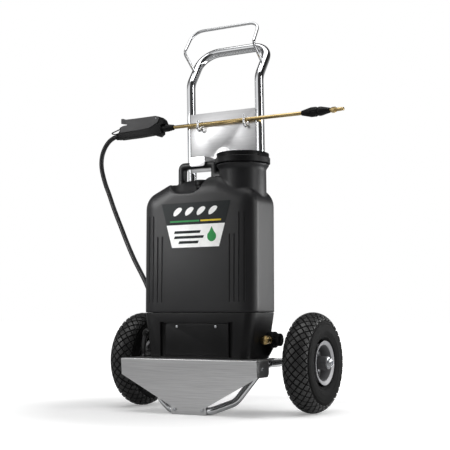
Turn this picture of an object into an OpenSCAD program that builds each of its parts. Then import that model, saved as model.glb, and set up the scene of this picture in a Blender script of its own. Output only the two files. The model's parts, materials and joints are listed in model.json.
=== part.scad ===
// Two-wheeled cart that carries a 15 litre battery sprayer with a telescopic lance.
// Origin: middle of the hollow axle. X runs along the axle, -Y is the front, +Z is up.
// The ground is half a wheel diameter below the axle. All lengths are in millimetres.

/* [Wheels] */
// Outer diameter of each tyre
wheel_d = 260; // [248:2:280]
// Width of each tyre
tyre_w = 76; // [66:1:84]
// Height of the diamond blocks of a tyre's tread
tread_h = 3.2; // [2:0.2:4]
// Number of diamonds in a row round a tyre
tread_count = 36; // [30:2:40]
// Distance between the middles of the two tyres
track = 530; // [510:2:580]
// Diameter of a rim over its flanges
rim_d = 114; // [108:1:122]
// Length of a wheel hub from end to end
hub_len = 84; // [80:1:96]
// Outer diameter of a hub tube
hub_d = 35; // [32:1:40]
// Number of bolts that join the two halves of a rim
rim_bolts_n = 4; // [3:1:6]

/* [Axle] */
// Outer diameter of the hollow axle
axle_d = 16; // [15:0.5:18]
// Bore through the axle
axle_bore_d = 12; // [8:0.5:12]
// Distance of each axle collar from the middle of the cart
collar_x = 145; // [130:1:160]

/* [Frame tubes] */
// Outer diameter of the main tube
tube_d = 25; // [22:0.5:28]
// Wall thickness of the main tube
tube_wall = 1.5; // [1:0.25:3]
// Distance between the two legs of the main tube
leg_gap = 218; // [200:2:230]
// Forward lean of the legs in degrees
leg_lean = 2; // [0:0.5:4]
// Height above the ground where the main tube bends back
bend_h = 902; // [860:2:940]
// Angle of that bend in degrees
bend_back = 34; // [25:1:40]
// Length of the bent-back top, up to the middle of the crossbar
top_len = 122; // [110:1:140]
// Radius of the two corners of the crossbar
corner_r = 55; // [40:1:65]
// Diameter of the thin hoop's rod
hoop_d = 8; // [6:0.5:10]
// How far the hoop reaches forward from the bent top
hoop_reach = 60; // [45:1:70]
// How far the hoop's elbow sits above its root
hoop_rise = 47; // [35:1:60]
// Height of the hoop's top bar above its elbow
hoop_top = 70; // [55:1:85]
// How far the top bar sits behind the elbow
hoop_back = 45; // [30:1:60]
// Outer diameter of the foot tube
foot_tube_d = 20; // [18:0.5:22]
// Distance between the two arms of the foot tube under the platform
foot_gap = 344; // [330:2:360]

/* [Platform] */
// Width of the platform
deck_w = 406; // [396:2:420]
// Distance of the front edge ahead of the axle
deck_front = 196; // [190:1:206]
// Thickness of the platform sheet
sheet_t = 2.5; // [2:0.25:3]
// Length of the full-width part of the platform
deck_wide_len = 98; // [80:1:110]
// Width of the part behind it
deck_rear_w = 320; // [300:2:330]
// Length of the side flanges
flange_len = 68; // [50:1:80]
// Height of the side flanges and of the apron's ends
flange_h = 43; // [30:1:50]
// Width of the apron where it meets the ground
apron_foot_w = 104; // [90:2:120]
// Height of the apron's upright lower ends
apron_foot_h = 20; // [12:1:26]
// How far the apron's foot stands behind its top edge
apron_set_back = 14; // [6:1:18]

/* [Back plate] */
// Width of the back plate
plate_w = 206; // [190:2:216]
// Height of the back plate
plate_h = 164; // [150:2:180]
// Height of the plate's lower edge above the ground
plate_low_h = 650; // [645:1:660]
// Thickness of the plate
plate_t = 2; // [1.5:0.25:3]
// Radius of the half-round slot
arc_r = 27; // [20:1:34]
// Width of the half-round slot
arc_w = 5; // [4:0.5:7]
// Height of the slot's centre above the plate's lower edge
arc_up = 36; // [32:1:60]
// Width of the hook over the carry handle
hook_w = 48; // [36:1:60]
// Offset of the hook from the middle of the cart
hook_x = -26; // [-34:1:-20]
// Height of the hook's lip
hook_lip_h = 26; // [20:1:30]

/* [Tank] */
// Width of the tank
tank_w = 342; // [330:2:350]
// Depth of the tank
tank_depth = 141; // [138:1:144]
// Gap between the legs and the back of the tank
tank_gap = 8; // [8:1:12]
// Wall thickness of the tank
tank_wall = 4; // [3:0.5:6]
// Radius of the tank's rounded edges
tank_r = 30; // [24:1:36]
// Height of the motor base under the tank
base_h = 118; // [110:1:124]
// Height of the tank's flat top above the seam
plateau_h = 357; // [350:1:362]
// Width of the flat top
plateau_w = 151; // [140:1:170]
// How far the shoulders lie below the flat top
shoulder_drop = 32; // [24:1:40]
// How far the floor of the front scoop lies below the flat top
scoop_drop = 42; // [38:1:46]
// Clearance between stacked or facing pieces
seat_gap = 0.3; // [0.2:0.05:0.5]
// Width of the carry handle's opening
grip_w = 86; // [80:1:92]
// Height of the carry handle's opening
grip_h = 31; // [28:1:34]
// Thickness of the carry handle
handle_t = 17; // [14:1:20]
// Depth of the carry handle
handle_depth = 28; // [24:1:34]

/* [Filler neck and lid] */
// Distance of the neck's axis to the right of the middle
neck_x = 103; // [100:1:105]
// Outer diameter of the neck
neck_d = 124; // [118:1:126]
// Bore of the neck
neck_bore_d = 112; // [106:1:113]
// Outer diameter of the neck's collar under the lid
collar_d = 140; // [136:1:142]
// Height of the neck's rim above the tank's flat top
rim_up = 52; // [50:1:57]
// Outer diameter of the lid's skirt
lid_d = 145; // [142:1:150]
// Outer diameter of the lid's upper step
lid_top_d = 139; // [136:1:141]
// Height of the lid
lid_h = 28; // [26:1:32]
// Depth of the strainer basket
strainer_depth = 66; // [50:1:76]
// Number of grip ribs round the lid
lid_ribs_n = 24; // [12:1:36]

/* [Motor base] */
// Width of the base at its foot
base_foot_w = 304; // [290:2:316]
// Wall thickness of the base
base_wall = 3; // [2.5:0.25:4]
// Width of each upright slot in the front of the base
slot_w = 13; // [10:1:16]
// Distance of each slot's middle from the middle of the base
slot_x = 104; // [96:1:108]
// Depth of each slot
slot_depth = 10; // [6:1:12]
// Diameter of the pressure knob
knob_d = 33; // [28:1:38]
// Length of the pressure knob
knob_len = 15; // [12:1:18]
// Outer diameter of the brass cap
cap_d = 23; // [20:1:25]
// Length of the brass cap
cap_len = 16; // [12:1:20]

/* [Label] */
// How far the label's upper edge lies below the tank's flat top
label_drop = 69; // [64:1:76]
// Width of the label at its upper edge
label_w = 212; // [160:2:220]
// Width of the label at its lower edge
label_low_w = 144; // [120:2:170]
// Height of the label
label_h = 118; // [90:1:130]
// Height of its dark upper part
label_dark_h = 58; // [40:1:70]

/* [Works] */
// Length of the battery pack
battery_l = 130; // [110:1:134]
// Depth of the battery pack
battery_d = 88; // [70:1:92]
// Height of the battery pack
battery_h = 62; // [50:1:80]
// Width of the pump block
pump_w = 52; // [44:1:54]
// Diameter of the motor
motor_d = 36; // [30:1:40]

/* [Lance] */
// Outer diameter of the outer tube
lance_d = 10; // [9:0.5:12]
// Height of the lance's axis above the ground
lance_h = 781; // [776:1:786]
// Length of the outer tube seen between grip and lock nut
lance_len = 400; // [360:2:420]
// Distance of the grip's front nut left of the middle
grip_x = -152; // [-160:1:-146]
// Outer diameter of the telescopic inner tube
inner_d = 8; // [7:0.5:8]
// Greatest diameter of the lock nut
lock_d = 26; // [22:1:28]
// Length of the lock nut
lock_len = 46; // [40:1:50]
// Length of the nozzle holder
holder_len = 34; // [30:1:38]
// Width of the grip body
grip_body_w = 25; // [22:1:28]
// Wall thickness of the trigger lever
lever_wall = 2.2; // [1.8:0.2:3]
// Diameter of the rod in the lance clips
clip_d = 6; // [5:0.5:7]
// Position of the left clip
clip_left_x = -68; // [-80:1:-60]
// Position of the right clip
clip_right_x = 78; // [70:1:86]

/* [Hose] */
// Outer diameter of the hose
hose_d = 13; // [11:0.5:14]

/* [Hidden] */
$fn = 64;
hull_fn = 32;         // facets of the pieces inside a hull
weld_gap = 0.2;       // gap where welded or glued pieces meet
run_gap = 0.05;       // radial clearance of a shaft that turns or slides
side_gap = 0.5;       // gap beside a piece that moves

// Colours
chrome_c = [0.86, 0.87, 0.88];
steel_c = [0.62, 0.62, 0.63];
brass_c = [0.80, 0.62, 0.30];
black_c = [0.06, 0.06, 0.07];
tank_c = [0.22, 0.22, 0.23];
grey_c = [0.36, 0.36, 0.37];

// ---- Heights and places that follow from the driving sizes ----
ground = -wheel_d / 2;
axle_r = axle_d / 2;
tube_r = tube_d / 2;
deck_top = axle_r + sheet_t;
deck_under = deck_top - sheet_t;
leg_x = leg_gap / 2;
leg_back = axle_r + tube_r + 6;
function above(h) = h + ground;
function leg_y(z) = leg_back - z * tan(leg_lean);

bend_z = above(bend_h);
bend_dir = [0, sin(bend_back), cos(bend_back)];
bend_point = [leg_x, leg_y(bend_z), bend_z];
top_point = bend_point + top_len * bend_dir;
leg_foot_z = -12;
tube_bend_r = 50;

base_z = deck_top + seat_gap;
seam_z = base_z + base_h + seat_gap;
plateau_z = seam_z + plateau_h;
shoulder_z = plateau_z - shoulder_drop;
tank_y = leg_y(plateau_z) - tube_r - tank_gap - tank_depth / 2;
tank_front = tank_y - tank_depth / 2;
rim_z = plateau_z + rim_up;
neck_collar_z = rim_z - 22;
grip_left = -75;
handle_z = plateau_z + grip_h;

plate_low = above(plate_low_h);
lance_z = above(lance_h);
plate_back_off = tube_r + weld_gap;
plate_y = -plate_back_off - plate_t;
lance_r = lance_d / 2;
clip_r = clip_d / 2;
clip_bend_r = lance_r + seat_gap + clip_r;
// the lance's axis on the leaning plane of the legs, and its place from there
lance_off = plate_y - weld_gap - clip_r - clip_bend_r;
lance_up = (lance_z - lance_off * sin(leg_lean)) / cos(leg_lean);
lance_y = leg_back + lance_off * cos(leg_lean) - lance_up * sin(leg_lean);

// ---- Small vector tools ----
function unit(v) = v / norm(v);
function turn_angle(a, b) = acos(max(-1, min(1, unit(a) * unit(b))));
function mirror_x(p) = [-p[0], p[1], p[2]];
function reversed(list) = [for (i = [len(list) - 1:-1:0]) list[i]];

// Draws its children with their +Z along the line from a to b, starting at a
module along(a, b) {
    d = unit(b - a);
    side = abs(d[0]) < 0.9 ? [1, 0, 0] : [0, 1, 0];
    x = unit(cross(side, d));
    y = cross(d, x);
    multmatrix([
        [x[0], y[0], d[0], a[0]],
        [x[1], y[1], d[1], a[1]],
        [x[2], y[2], d[2], a[2]],
        [0, 0, 0, 1]
    ]) children();
}

// A straight round bar from a to b
module bar(a, b, r) {
    along(a, b) cylinder(h = norm(b - a), r = r);
}

// A quarter-ring bend at corner p, from direction u to direction v, with centre-line radius br
module bend(p, u, v, br, r) {
    angle = turn_angle(u, v);
    w = unit(v - (v * u) * u);
    c = p - u * (br * tan(angle / 2)) + w * br;
    z = cross(-w, u);
    multmatrix([
        [-w[0], u[0], z[0], c[0]],
        [-w[1], u[1], z[1], c[1]],
        [-w[2], u[2], z[2], c[2]],
        [0, 0, 0, 1]
    ]) rotate_extrude(angle = angle) translate([br, 0]) circle(r = r);
}

// A bent round bar through the points p; bends[i] is the radius at the point i + 1.
// The straight stretches run a little way into bends that are a hair thinner.
bend_lap = 0.4;
bend_thin = 0.04;

module bent_bar(p, bends, r) {
    last = len(p) - 1;
    trims = [for (i = [0:last]) i == 0 || i == last ? 0 :
        bends[i - 1] * tan(turn_angle(p[i] - p[i - 1], p[i + 1] - p[i]) / 2) - bend_lap];
    for (i = [0:last - 1]) {
        d = unit(p[i + 1] - p[i]);
        bar(p[i] + d * trims[i], p[i + 1] - d * trims[i + 1], r);
    }
    for (i = [1:last - 1]) {
        bend(p[i], unit(p[i] - p[i - 1]), unit(p[i + 1] - p[i]), bends[i - 1], r - bend_thin);
    }
}

// Extrudes an outline drawn in X and Z by w, centred on Y
module side_profile(w) {
    rotate([90, 0, 0]) linear_extrude(height = w, center = true) children();
}

// A cylinder along X, centred on the origin
module x_cylinder(h, r) {
    rotate([0, 90, 0]) cylinder(h = h, r = r, center = true);
}

// A solid of revolution about X, from an outline of [radius, x] points
module x_turned(outline) {
    rotate([0, 90, 0]) rotate_extrude() polygon(outline);
}

module both_sides() {
    children();
    mirror([1, 0, 0]) children();
}

// ---- Frame ----

// Chromed U tube: two legs, bent back near the top, joined by a crossbar
main_path = [
    [leg_x, leg_y(leg_foot_z), leg_foot_z],
    bend_point,
    top_point,
    mirror_x(top_point),
    mirror_x(bend_point),
    [-leg_x, leg_y(leg_foot_z), leg_foot_z]
];

module main_tube() {
    bends = [tube_bend_r, corner_r, corner_r, tube_bend_r];
    color(chrome_c) difference() {
        bent_bar(main_path, bends, tube_r);
        bent_bar(main_path, bends, tube_r - tube_wall);
    }
}

// Thin rod hoop welded to the bent-back top of the main tube
hoop_root_up = 45;    // distance of the hoop's root above the bend, along the tube
hoop_root = bend_point + hoop_root_up * bend_dir;
hoop_elbow = hoop_root + [1, -hoop_reach, hoop_rise];
hoop_corner = hoop_elbow + [-4, hoop_back, hoop_top];
hoop_dir = unit(hoop_elbow - hoop_root);
hoop_start = hoop_root + hoop_dir * (tube_r + 0.5);
hoop_path = [
    hoop_start, hoop_elbow, hoop_corner,
    mirror_x(hoop_corner), mirror_x(hoop_elbow), mirror_x(hoop_start)
];

module top_hoop() {
    color(chrome_c) bent_bar(hoop_path, [12, 34, 34, 12], hoop_d / 2);
}

// Foot tube: two arms under the platform that run down and inward to a bar on the ground
foot_r = foot_tube_d / 2;
foot_arm_z = deck_under - foot_r - seat_gap;
apron_slope = apron_set_back / (deck_top - ground);
apron_inner_y = -deck_front + apron_set_back + sheet_t;
foot_bar_y = apron_inner_y - apron_slope * foot_r + foot_r + seat_gap + 0.1;
sleeve_r = axle_r + 1.3;
foot_rear_y = -sleeve_r - seat_gap;
foot_path = [
    [foot_gap / 2, foot_rear_y, foot_arm_z],
    [foot_gap / 2, -88, foot_arm_z],
    [112, -138, ground + 32],
    [60, foot_bar_y, ground + foot_r],
    [-60, foot_bar_y, ground + foot_r],
    [-112, -138, ground + 32],
    [-foot_gap / 2, -88, foot_arm_z],
    [-foot_gap / 2, foot_rear_y, foot_arm_z]
];

module foot_tube() {
    bends = [36, 40, 30, 30, 40, 36];
    color(chrome_c) difference() {
        bent_bar(foot_path, bends, foot_r);
        bent_bar(foot_path, bends, foot_r - tube_wall);
    }
}

// Hollow axle with the bore open from end to end
axle_half = track / 2 + hub_len / 2 + 12;

module axle() {
    color(steel_c) difference() {
        x_cylinder(2 * axle_half, axle_r);
        x_cylinder(2 * axle_half + 2, axle_bore_d / 2);
    }
}

// Two plates that carry the legs and the platform on the axle
bracket_t = 4;
bracket_x = leg_x - tube_r - weld_gap - bracket_t;
deck_rear_y = -axle_r - 6;

module axle_brackets() {
    bracket_rear = leg_back + tube_r;
    color(steel_c) both_sides() translate([bracket_x, 0, 0]) rotate([90, 0, 90])
        linear_extrude(height = bracket_t) difference() {
            union() {
                translate([deck_rear_y + weld_gap, leg_foot_z])
                    square([bracket_rear - deck_rear_y, axle_r - leg_foot_z]);
                translate([leg_back, axle_r]) circle(r = tube_r);
            }
            circle(r = axle_r + run_gap);
        }
}

// Stop collars and spacer sleeves that keep the wheels at their places on the axle
hub_inner_x = track / 2 - hub_len / 2;

module axle_collars() {
    color(chrome_c) both_sides() difference() {
        union() {
            translate([collar_x + 3, 0, 0]) x_cylinder(6, axle_r + 2.5);
            translate([(collar_x + hub_inner_x - side_gap) / 2, 0, 0])
                x_cylinder(hub_inner_x - side_gap - collar_x, sleeve_r);
        }
        translate([track / 2, 0, 0]) x_cylinder(track, axle_r + run_gap);
    }
}

washer_x = track / 2 + hub_len / 2 + side_gap;
washer_t = 2;

module axle_washers() {
    color(steel_c) both_sides() translate([washer_x + washer_t / 2, 0, 0]) difference() {
        x_cylinder(washer_t, axle_r + 7);
        x_cylinder(washer_t + 2, axle_r + run_gap);
    }
}

nut_t = 7;

module axle_nuts() {
    color(chrome_c) both_sides() translate([washer_x + washer_t + 0.2 + nut_t / 2, 0, 0]) difference() {
        rotate([0, 90, 0]) cylinder(h = nut_t, r = axle_r + 4, center = true, $fn = 6);
        x_cylinder(nut_t + 2, axle_r + run_gap);
    }
}

// ---- Platform ----

// Flat outline of the platform, with its rear corners drawn in
module deck_outline() {
    corner = 12;
    front = -deck_front;
    wide_back = front + deck_wide_len;
    difference() {
        translate([-deck_w / 2, front]) square([deck_w, deck_wide_len]);
        for (s = [-1, 1]) translate([s * deck_w / 2, wide_back]) difference() {
            square(2 * corner, center = true);
            translate([-s * corner, -corner]) circle(r = corner);
        }
    }
    translate([-deck_rear_w / 2, wide_back - 1]) square([deck_rear_w, deck_rear_y - wide_back + 1]);
}

// Front apron outline: tall ends, slanting edges and a short foot on the ground
module apron_outline() {
    h = deck_top - ground;
    polygon([
        [-deck_w / 2, 0], [deck_w / 2, 0],
        [deck_w / 2, -flange_h], [apron_foot_w / 2, apron_foot_h - h],
        [apron_foot_w / 2, -h], [-apron_foot_w / 2, -h],
        [-apron_foot_w / 2, apron_foot_h - h], [-deck_w / 2, -flange_h]
    ]);
}

screw_x = 41;         // distance of the apron screws from the middle
screw_z = ground + 12;
rivet_back = 34;      // distance of the flange rivets behind the front edge
rivet_z = deck_top - 22;

module platform() {
    shear = apron_slope;
    color(steel_c) difference() {
        union() {
            translate([0, 0, deck_under]) linear_extrude(height = sheet_t) deck_outline();
            // apron, leaning back towards its foot
            multmatrix([
                [1, 0, 0, 0],
                [0, 1, -shear, -deck_front + shear * deck_top],
                [0, 0, 1, 0],
                [0, 0, 0, 1]
            ])
                translate([0, sheet_t / 2, deck_top]) side_profile(sheet_t) apron_outline();
            // side flanges with a rounded lower rear corner
            both_sides() translate([deck_w / 2 - sheet_t, 0, 0]) rotate([90, 0, 90])
                linear_extrude(height = sheet_t) {
                    translate([-deck_front, deck_top - flange_h]) square([flange_len - 12, flange_h]);
                    translate([-deck_front, deck_top - flange_h + 12]) square([flange_len, flange_h - 12]);
                    translate([-deck_front + flange_len - 12, deck_top - flange_h + 12]) circle(r = 12);
                }
            // stiffening flange along the rear edge
            translate([-deck_rear_w / 2, deck_rear_y - sheet_t, deck_top - 20])
                cube([deck_rear_w, sheet_t, 20]);
        }
        for (s = [-1, 1]) {
            translate([s * screw_x, -deck_front, screw_z]) rotate([-90, 0, 0])
                cylinder(h = 60, r = 2.3, center = true);
            translate([s * deck_w / 2, -deck_front + rivet_back, rivet_z]) x_cylinder(20, 2.3);
            translate([s * foot_gap / 2, deck_rear_y, foot_arm_z]) rotate([90, 0, 0])
                cylinder(h = 20, r = foot_r + seat_gap, center = true);
        }
    }
}

// Two pan-head screws that hold the apron's foot to the foot tube
module apron_screws() {
    apron_y = -deck_front + apron_slope * (deck_top - screw_z);
    color(steel_c) for (s = [-1, 1]) translate([s * screw_x, apron_y, screw_z]) rotate([-90, 0, 0]) {
        translate([0, 0, -2.6]) cylinder(h = 2, r = 4.2);
        translate([0, 0, -1]) cylinder(h = sheet_t + 1, r = 2.1);
    }
}

// One rivet in each side flange, with a washer inside
module flange_rivets() {
    color(chrome_c) both_sides() translate([deck_w / 2, -deck_front + rivet_back, rivet_z]) {
        translate([0.9, 0, 0]) x_cylinder(1.6, 4);
        translate([-sheet_t / 2, 0, 0]) x_cylinder(sheet_t + 2, 2.1);
        translate([-sheet_t - 1.1, 0, 0]) x_cylinder(1.8, 3.5);
    }
}

// ---- Back plate and what it carries ----

// Places its children on the leaning plane of the legs
module on_legs() {
    translate([0, leg_back, 0]) rotate([leg_lean, 0, 0]) children();
}

module arc_slot() {
    translate([0, arc_up]) {
        difference() {
            circle(r = arc_r + arc_w / 2);
            circle(r = arc_r - arc_w / 2);
            translate([-2 * arc_r, -2 * arc_r]) square([4 * arc_r, 2 * arc_r]);
        }
        for (s = [-1, 1]) translate([s * (arc_r + 3), arc_w / 2]) square([arc_w + 6, arc_w], center = true);
    }
}

module back_plate() {
    color(steel_c) on_legs() translate([0, plate_y + plate_t / 2, plate_low]) side_profile(plate_t)
        difference() {
            translate([-plate_w / 2, 0]) square([plate_w, plate_h]);
            arc_slot();
        }
}

// Two U-shaped rod clips; the lance is pressed in between their legs
module lance_clips() {
    clip_up = lance_up - 10;
    color(chrome_c) on_legs() for (x = [clip_left_x, clip_right_x]) {
        for (leg = [[clip_bend_r, 9], [-clip_bend_r, 12]]) bar(
            [x, lance_off + leg[0], clip_up - bend_lap], [x, lance_off + leg[0], lance_up + leg[1]], clip_r);
        translate([x, lance_off, clip_up]) rotate([0, 90, 0]) rotate([0, 0, -90])
            rotate_extrude(angle = 180) translate([clip_bend_r, 0]) circle(r = clip_r - bend_thin);
    }
}

// Bent sheet hook from the back plate over the carry handle
hook_t = 2;
hook_top_z = handle_z + handle_t + 10;
hook_plate_y = leg_y(hook_top_z) - (plate_back_off + plate_t) / cos(leg_lean) - 0.3;
hook_front_y = tank_y - handle_depth / 2 - 4 - hook_t;

module tank_hook() {
    foot_h = 16;
    color(steel_c) translate([hook_x - hook_w / 2, 0, 0]) {
        translate([0, hook_front_y, hook_top_z]) cube([hook_w, hook_plate_y - hook_front_y, hook_t]);
        translate([hook_w / 2, hook_front_y + hook_t / 2, hook_top_z + hook_t]) side_profile(hook_t) {
            translate([-hook_w / 2, -hook_lip_h + 8]) square([hook_w, hook_lip_h - 8]);
            translate([-hook_w / 2 + 8, -hook_lip_h]) square([hook_w - 16, 10]);
            for (s = [-1, 1]) translate([s * (hook_w / 2 - 8), 8 - hook_lip_h]) circle(r = 8);
        }
        translate([0, hook_plate_y - hook_t, hook_top_z - foot_h]) cube([hook_w, hook_t, foot_h + hook_t]);
    }
}

// ---- Tank ----

// Rounded body of the tank, drawn in by inset all round
module tank_form(inset, floor_z) {
    r = tank_r - inset;
    xs = tank_w / 2 - tank_r;
    ys = tank_depth / 2 - tank_r;
    px = plateau_w / 2 - tank_r / 2;
    translate([0, tank_y, 0]) hull() for (sx = [-1, 1], sy = [-1, 1]) {
        translate([sx * xs, sy * ys, floor_z]) cylinder(h = 40, r = r, $fn = hull_fn);
        translate([sx * xs, sy * ys, shoulder_z - tank_r]) sphere(r = r, $fn = hull_fn);
        translate([sx * px, sy * ys, plateau_z - tank_r]) sphere(r = r, $fn = hull_fn);
    }
}

// Carry handle: a bar on a left post that runs into the neck on the right
module handle_form() {
    outer_r = 18;
    left = grip_left - handle_t;
    right = neck_x - lid_d / 2 - 1.5;
    top = handle_z + handle_t;
    translate([0, tank_y, 0]) side_profile(handle_depth) difference() {
        union() {
            translate([right - 1, plateau_z - 14])
                square([neck_x - neck_d / 2 + 9 - right, neck_collar_z - plateau_z]);
            translate([left, plateau_z - 14]) square([right - left, top - plateau_z + 14 - outer_r]);
            translate([left + outer_r, top - outer_r - 1]) square([right - left - outer_r, outer_r + 1]);
            translate([left + outer_r, top - outer_r]) circle(r = outer_r);
        }
        translate([grip_left, plateau_z - 0.5]) square([grip_w, grip_h + 0.5]);
    }
}

// Scoop in the front of the top, in front of the carry handle
scoop_left = -68;
scoop_w = 70;
scoop_z = plateau_z - scoop_drop;
breather_x = -4;
breather_y = tank_front + 37;
breather_z = plateau_z - 28;
breather_r = 18;
pocket_r = breather_r + 1.5;

module scoop() {
    up = plateau_z + 30 - scoop_z;
    intersection() {
        translate([0, tank_front, 0]) side_profile(160) polygon([
            [scoop_left, scoop_z], [scoop_left + scoop_w, scoop_z],
            [scoop_left + scoop_w + up * 0.6, scoop_z + up], [scoop_left - up * 0.6, scoop_z + up]
        ]);
        translate([-tank_w / 2, tank_front, scoop_z]) rotate([90, 0, 90]) linear_extrude(height = tank_w)
            polygon([[-20, 0], [24, 0], [24 + up * 0.75, up], [-20, up]]);
    }
    translate([breather_x, breather_y, breather_z]) cylinder(h = 60, r = pocket_r);
}

// Upright grooves in the front of the tank, two short and two long on each side
groove_xs = [103, 117, 131, 145];
groove_foot_z = seam_z + 26;

module grooves() {
    for (s = [-1, 1], i = [0:3]) {
        tall = i < 2 ? 176 : 232;
        translate([s * groove_xs[i], tank_front - 0.6, groove_foot_z]) cylinder(h = tall, r = 2);
    }
}

// The moulded shell, open where the filler neck passes through it
neck_hole_z = plateau_z - 60;

module tank() {
    color(tank_c) difference() {
        tank_form(0, seam_z);
        difference() {
            tank_form(tank_wall, seam_z + tank_wall);
            // the scoop's and the breather pocket's own wall
            translate([0, 0, -tank_wall]) scoop();
            translate([breather_x, breather_y, breather_z - tank_wall])
                cylinder(h = 90, r = pocket_r + tank_wall);
        }
        translate([neck_x, tank_y, neck_hole_z]) cylinder(h = rim_z, r = neck_d / 2 + weld_gap);
        scoop();
        grooves();
    }
}

module carry_handle() {
    color(tank_c) handle_form();
}

// Filler neck, flared under the lid
module filler_neck() {
    r = neck_d / 2;
    color(tank_c) translate([neck_x, tank_y, 0]) rotate_extrude() polygon([
        [neck_bore_d / 2, neck_hole_z + weld_gap], [r, neck_hole_z + weld_gap], [r, neck_collar_z - 12],
        [collar_d / 2, neck_collar_z - 2], [collar_d / 2, neck_collar_z],
        [r + 1.5, neck_collar_z], [r + 1.5, rim_z], [neck_bore_d / 2, rim_z]
    ]);
}

// Black breather cap in its pocket in the scoop
module breather_cap() {
    color(black_c) translate([breather_x, breather_y, breather_z + seat_gap]) {
        cylinder(h = 8, r = breather_r - 4);
        difference() {
            translate([0, 0, 7]) cylinder(h = 14, r = breather_r);
            for (a = [0:30:330]) rotate([0, 0, a]) translate([breather_r + 0.4, 0, 6])
                cylinder(h = 20, r = 1.2);
        }
    }
}

// Strainer basket hung on the rim of the neck, with windows in its wall
strainer_t = 1.5;
strainer_wall = 2;
strainer_r = neck_bore_d / 2 - 4;
strainer_flange_z = rim_z + seat_gap;
window_rows = floor((strainer_depth - 18) / 14);

module strainer() {
    color(black_c) translate([neck_x, tank_y, strainer_flange_z]) difference() {
        union() {
            cylinder(h = strainer_t, r = neck_d / 2);
            translate([0, 0, -strainer_depth]) cylinder(h = strainer_depth + strainer_t, r = strainer_r);
        }
        translate([0, 0, -strainer_depth - 1])
            cylinder(h = strainer_depth + 5, r = strainer_r - strainer_wall);
        for (a = [0:45:315], i = [1:window_rows])
            rotate([0, 0, a]) translate([strainer_r, 0, -14 * i]) cube([8, 22, 6], center = true);
    }
}

// Perforated floor pressed into the foot of the strainer basket
module strainer_floor() {
    floor_r = strainer_r - strainer_wall - run_gap;
    color(steel_c) translate([neck_x, tank_y, strainer_flange_z - strainer_depth]) difference() {
        cylinder(h = strainer_t, r = floor_r);
        for (ring = [1:3], i = [0:6 * ring - 1]) rotate([0, 0, i * 60 / ring])
            translate([floor_r * ring / 4, 0, -1]) cylinder(h = strainer_t + 2, r = 2.5);
    }
}

// Flat rubber seal between the strainer's flange and the lid
seal_t = 1.6;
seal_z = strainer_flange_z + strainer_t + seat_gap;

module lid_seal() {
    color(black_c) translate([neck_x, tank_y, seal_z]) difference() {
        cylinder(h = seal_t, r = neck_d / 2 - 0.5);
        translate([0, 0, -1]) cylinder(h = seal_t + 2, r = neck_bore_d / 2 + 0.5);
    }
}

// Screw lid: a ribbed skirt with a smaller step on top
lid_roof_z = seal_z + seal_t + 0.1;
lid_top_z = lid_roof_z + 4.5;
lid_foot_z = lid_top_z - lid_h;
lid_step_z = lid_foot_z + lid_h * 0.56;
lid_inner_r = neck_d / 2 + 1.5 + 1;

module lid() {
    color(black_c) translate([neck_x, tank_y, 0]) difference() {
        rotate_extrude() polygon([
            [0, lid_roof_z], [lid_inner_r, lid_roof_z], [lid_inner_r, lid_foot_z + 1.5],
            [lid_inner_r + 1.5, lid_foot_z], [lid_d / 2, lid_foot_z],
            [lid_d / 2, lid_step_z], [lid_top_d / 2, lid_step_z + 1], [lid_top_d / 2, lid_top_z - 2],
            [lid_top_d / 2 - 2, lid_top_z], [0, lid_top_z]
        ]);
        for (i = [0:lid_ribs_n - 1]) rotate([0, 0, i * 360 / lid_ribs_n])
            translate([lid_top_d / 2 + 0.6, 0, lid_step_z + 1.5]) cylinder(h = 20, r = 2);
    }
}

// ---- Motor base ----
base_top = base_z + base_h;
base_top_w = tank_w - 5;
base_depth = tank_depth - 4;
base_r = 26;

module base_form(inset, low, high) {
    r = base_r - inset;
    ys = base_depth / 2 - base_r;
    translate([0, tank_y, 0]) hull() for (sx = [-1, 1], sy = [-1, 1]) {
        translate([sx * (base_foot_w / 2 - base_r), sy * (ys - 3), low])
            cylinder(h = 1, r = r, $fn = hull_fn);
        translate([sx * (base_top_w / 2 - base_r), sy * ys, high - 1])
            cylinder(h = 1, r = r, $fn = hull_fn);
    }
}

// Recess for the front cover, with an upright slot at each end
base_front_y = tank_y - base_depth / 2;
slot_foot_z = base_z + 4;
slot_top_z = base_z + base_h - 24;
cover_w = 2 * (slot_x - slot_w / 2) - 2;
cover_t = 4.7;
cover_sink = 3;        // how far the cover's face lies behind the base's front at its top
cover_h = slot_top_z - slot_foot_z - 6;

module motor_base() {
    color(black_c) difference() {
        base_form(0, base_z, base_top);
        difference() {
            base_form(base_wall, base_z + base_wall, base_top + 1);
            // thicker front wall round the slots and the cover
            for (s = [-1, 1]) translate([s * slot_x - slot_w / 2 - base_wall, base_front_y - 5, base_z - 1])
                cube([slot_w + 2 * base_wall, 5 + slot_depth + base_wall, base_h]);
            translate([-cover_w / 2 - base_wall, base_front_y - 5, base_z - 1])
                cube([cover_w + 2 * base_wall, 13 + base_wall, slot_top_z - base_z]);
        }
        for (s = [-1, 1]) translate([s * slot_x - slot_w / 2, base_front_y - 5, slot_foot_z])
            cube([slot_w, 5 + slot_depth, slot_top_z - slot_foot_z]);
        translate([-cover_w / 2 - seat_gap, base_front_y - 5, slot_foot_z + 3 - seat_gap])
            cube([cover_w + 2 * seat_gap, 5 + cover_sink + cover_t + seat_gap, cover_h + 2 * seat_gap]);
    }
}

cover_y = base_front_y + cover_sink;

module front_cover() {
    color(black_c) difference() {
        translate([-cover_w / 2, cover_y, slot_foot_z + 3]) cube([cover_w, cover_t, cover_h]);
        for (s = [-1, 1]) translate([s * 59, cover_y, slot_foot_z + cover_h - 6]) rotate([90, 0, 0])
            cylinder(h = 20, r = 2.2, center = true);
    }
}

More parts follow.
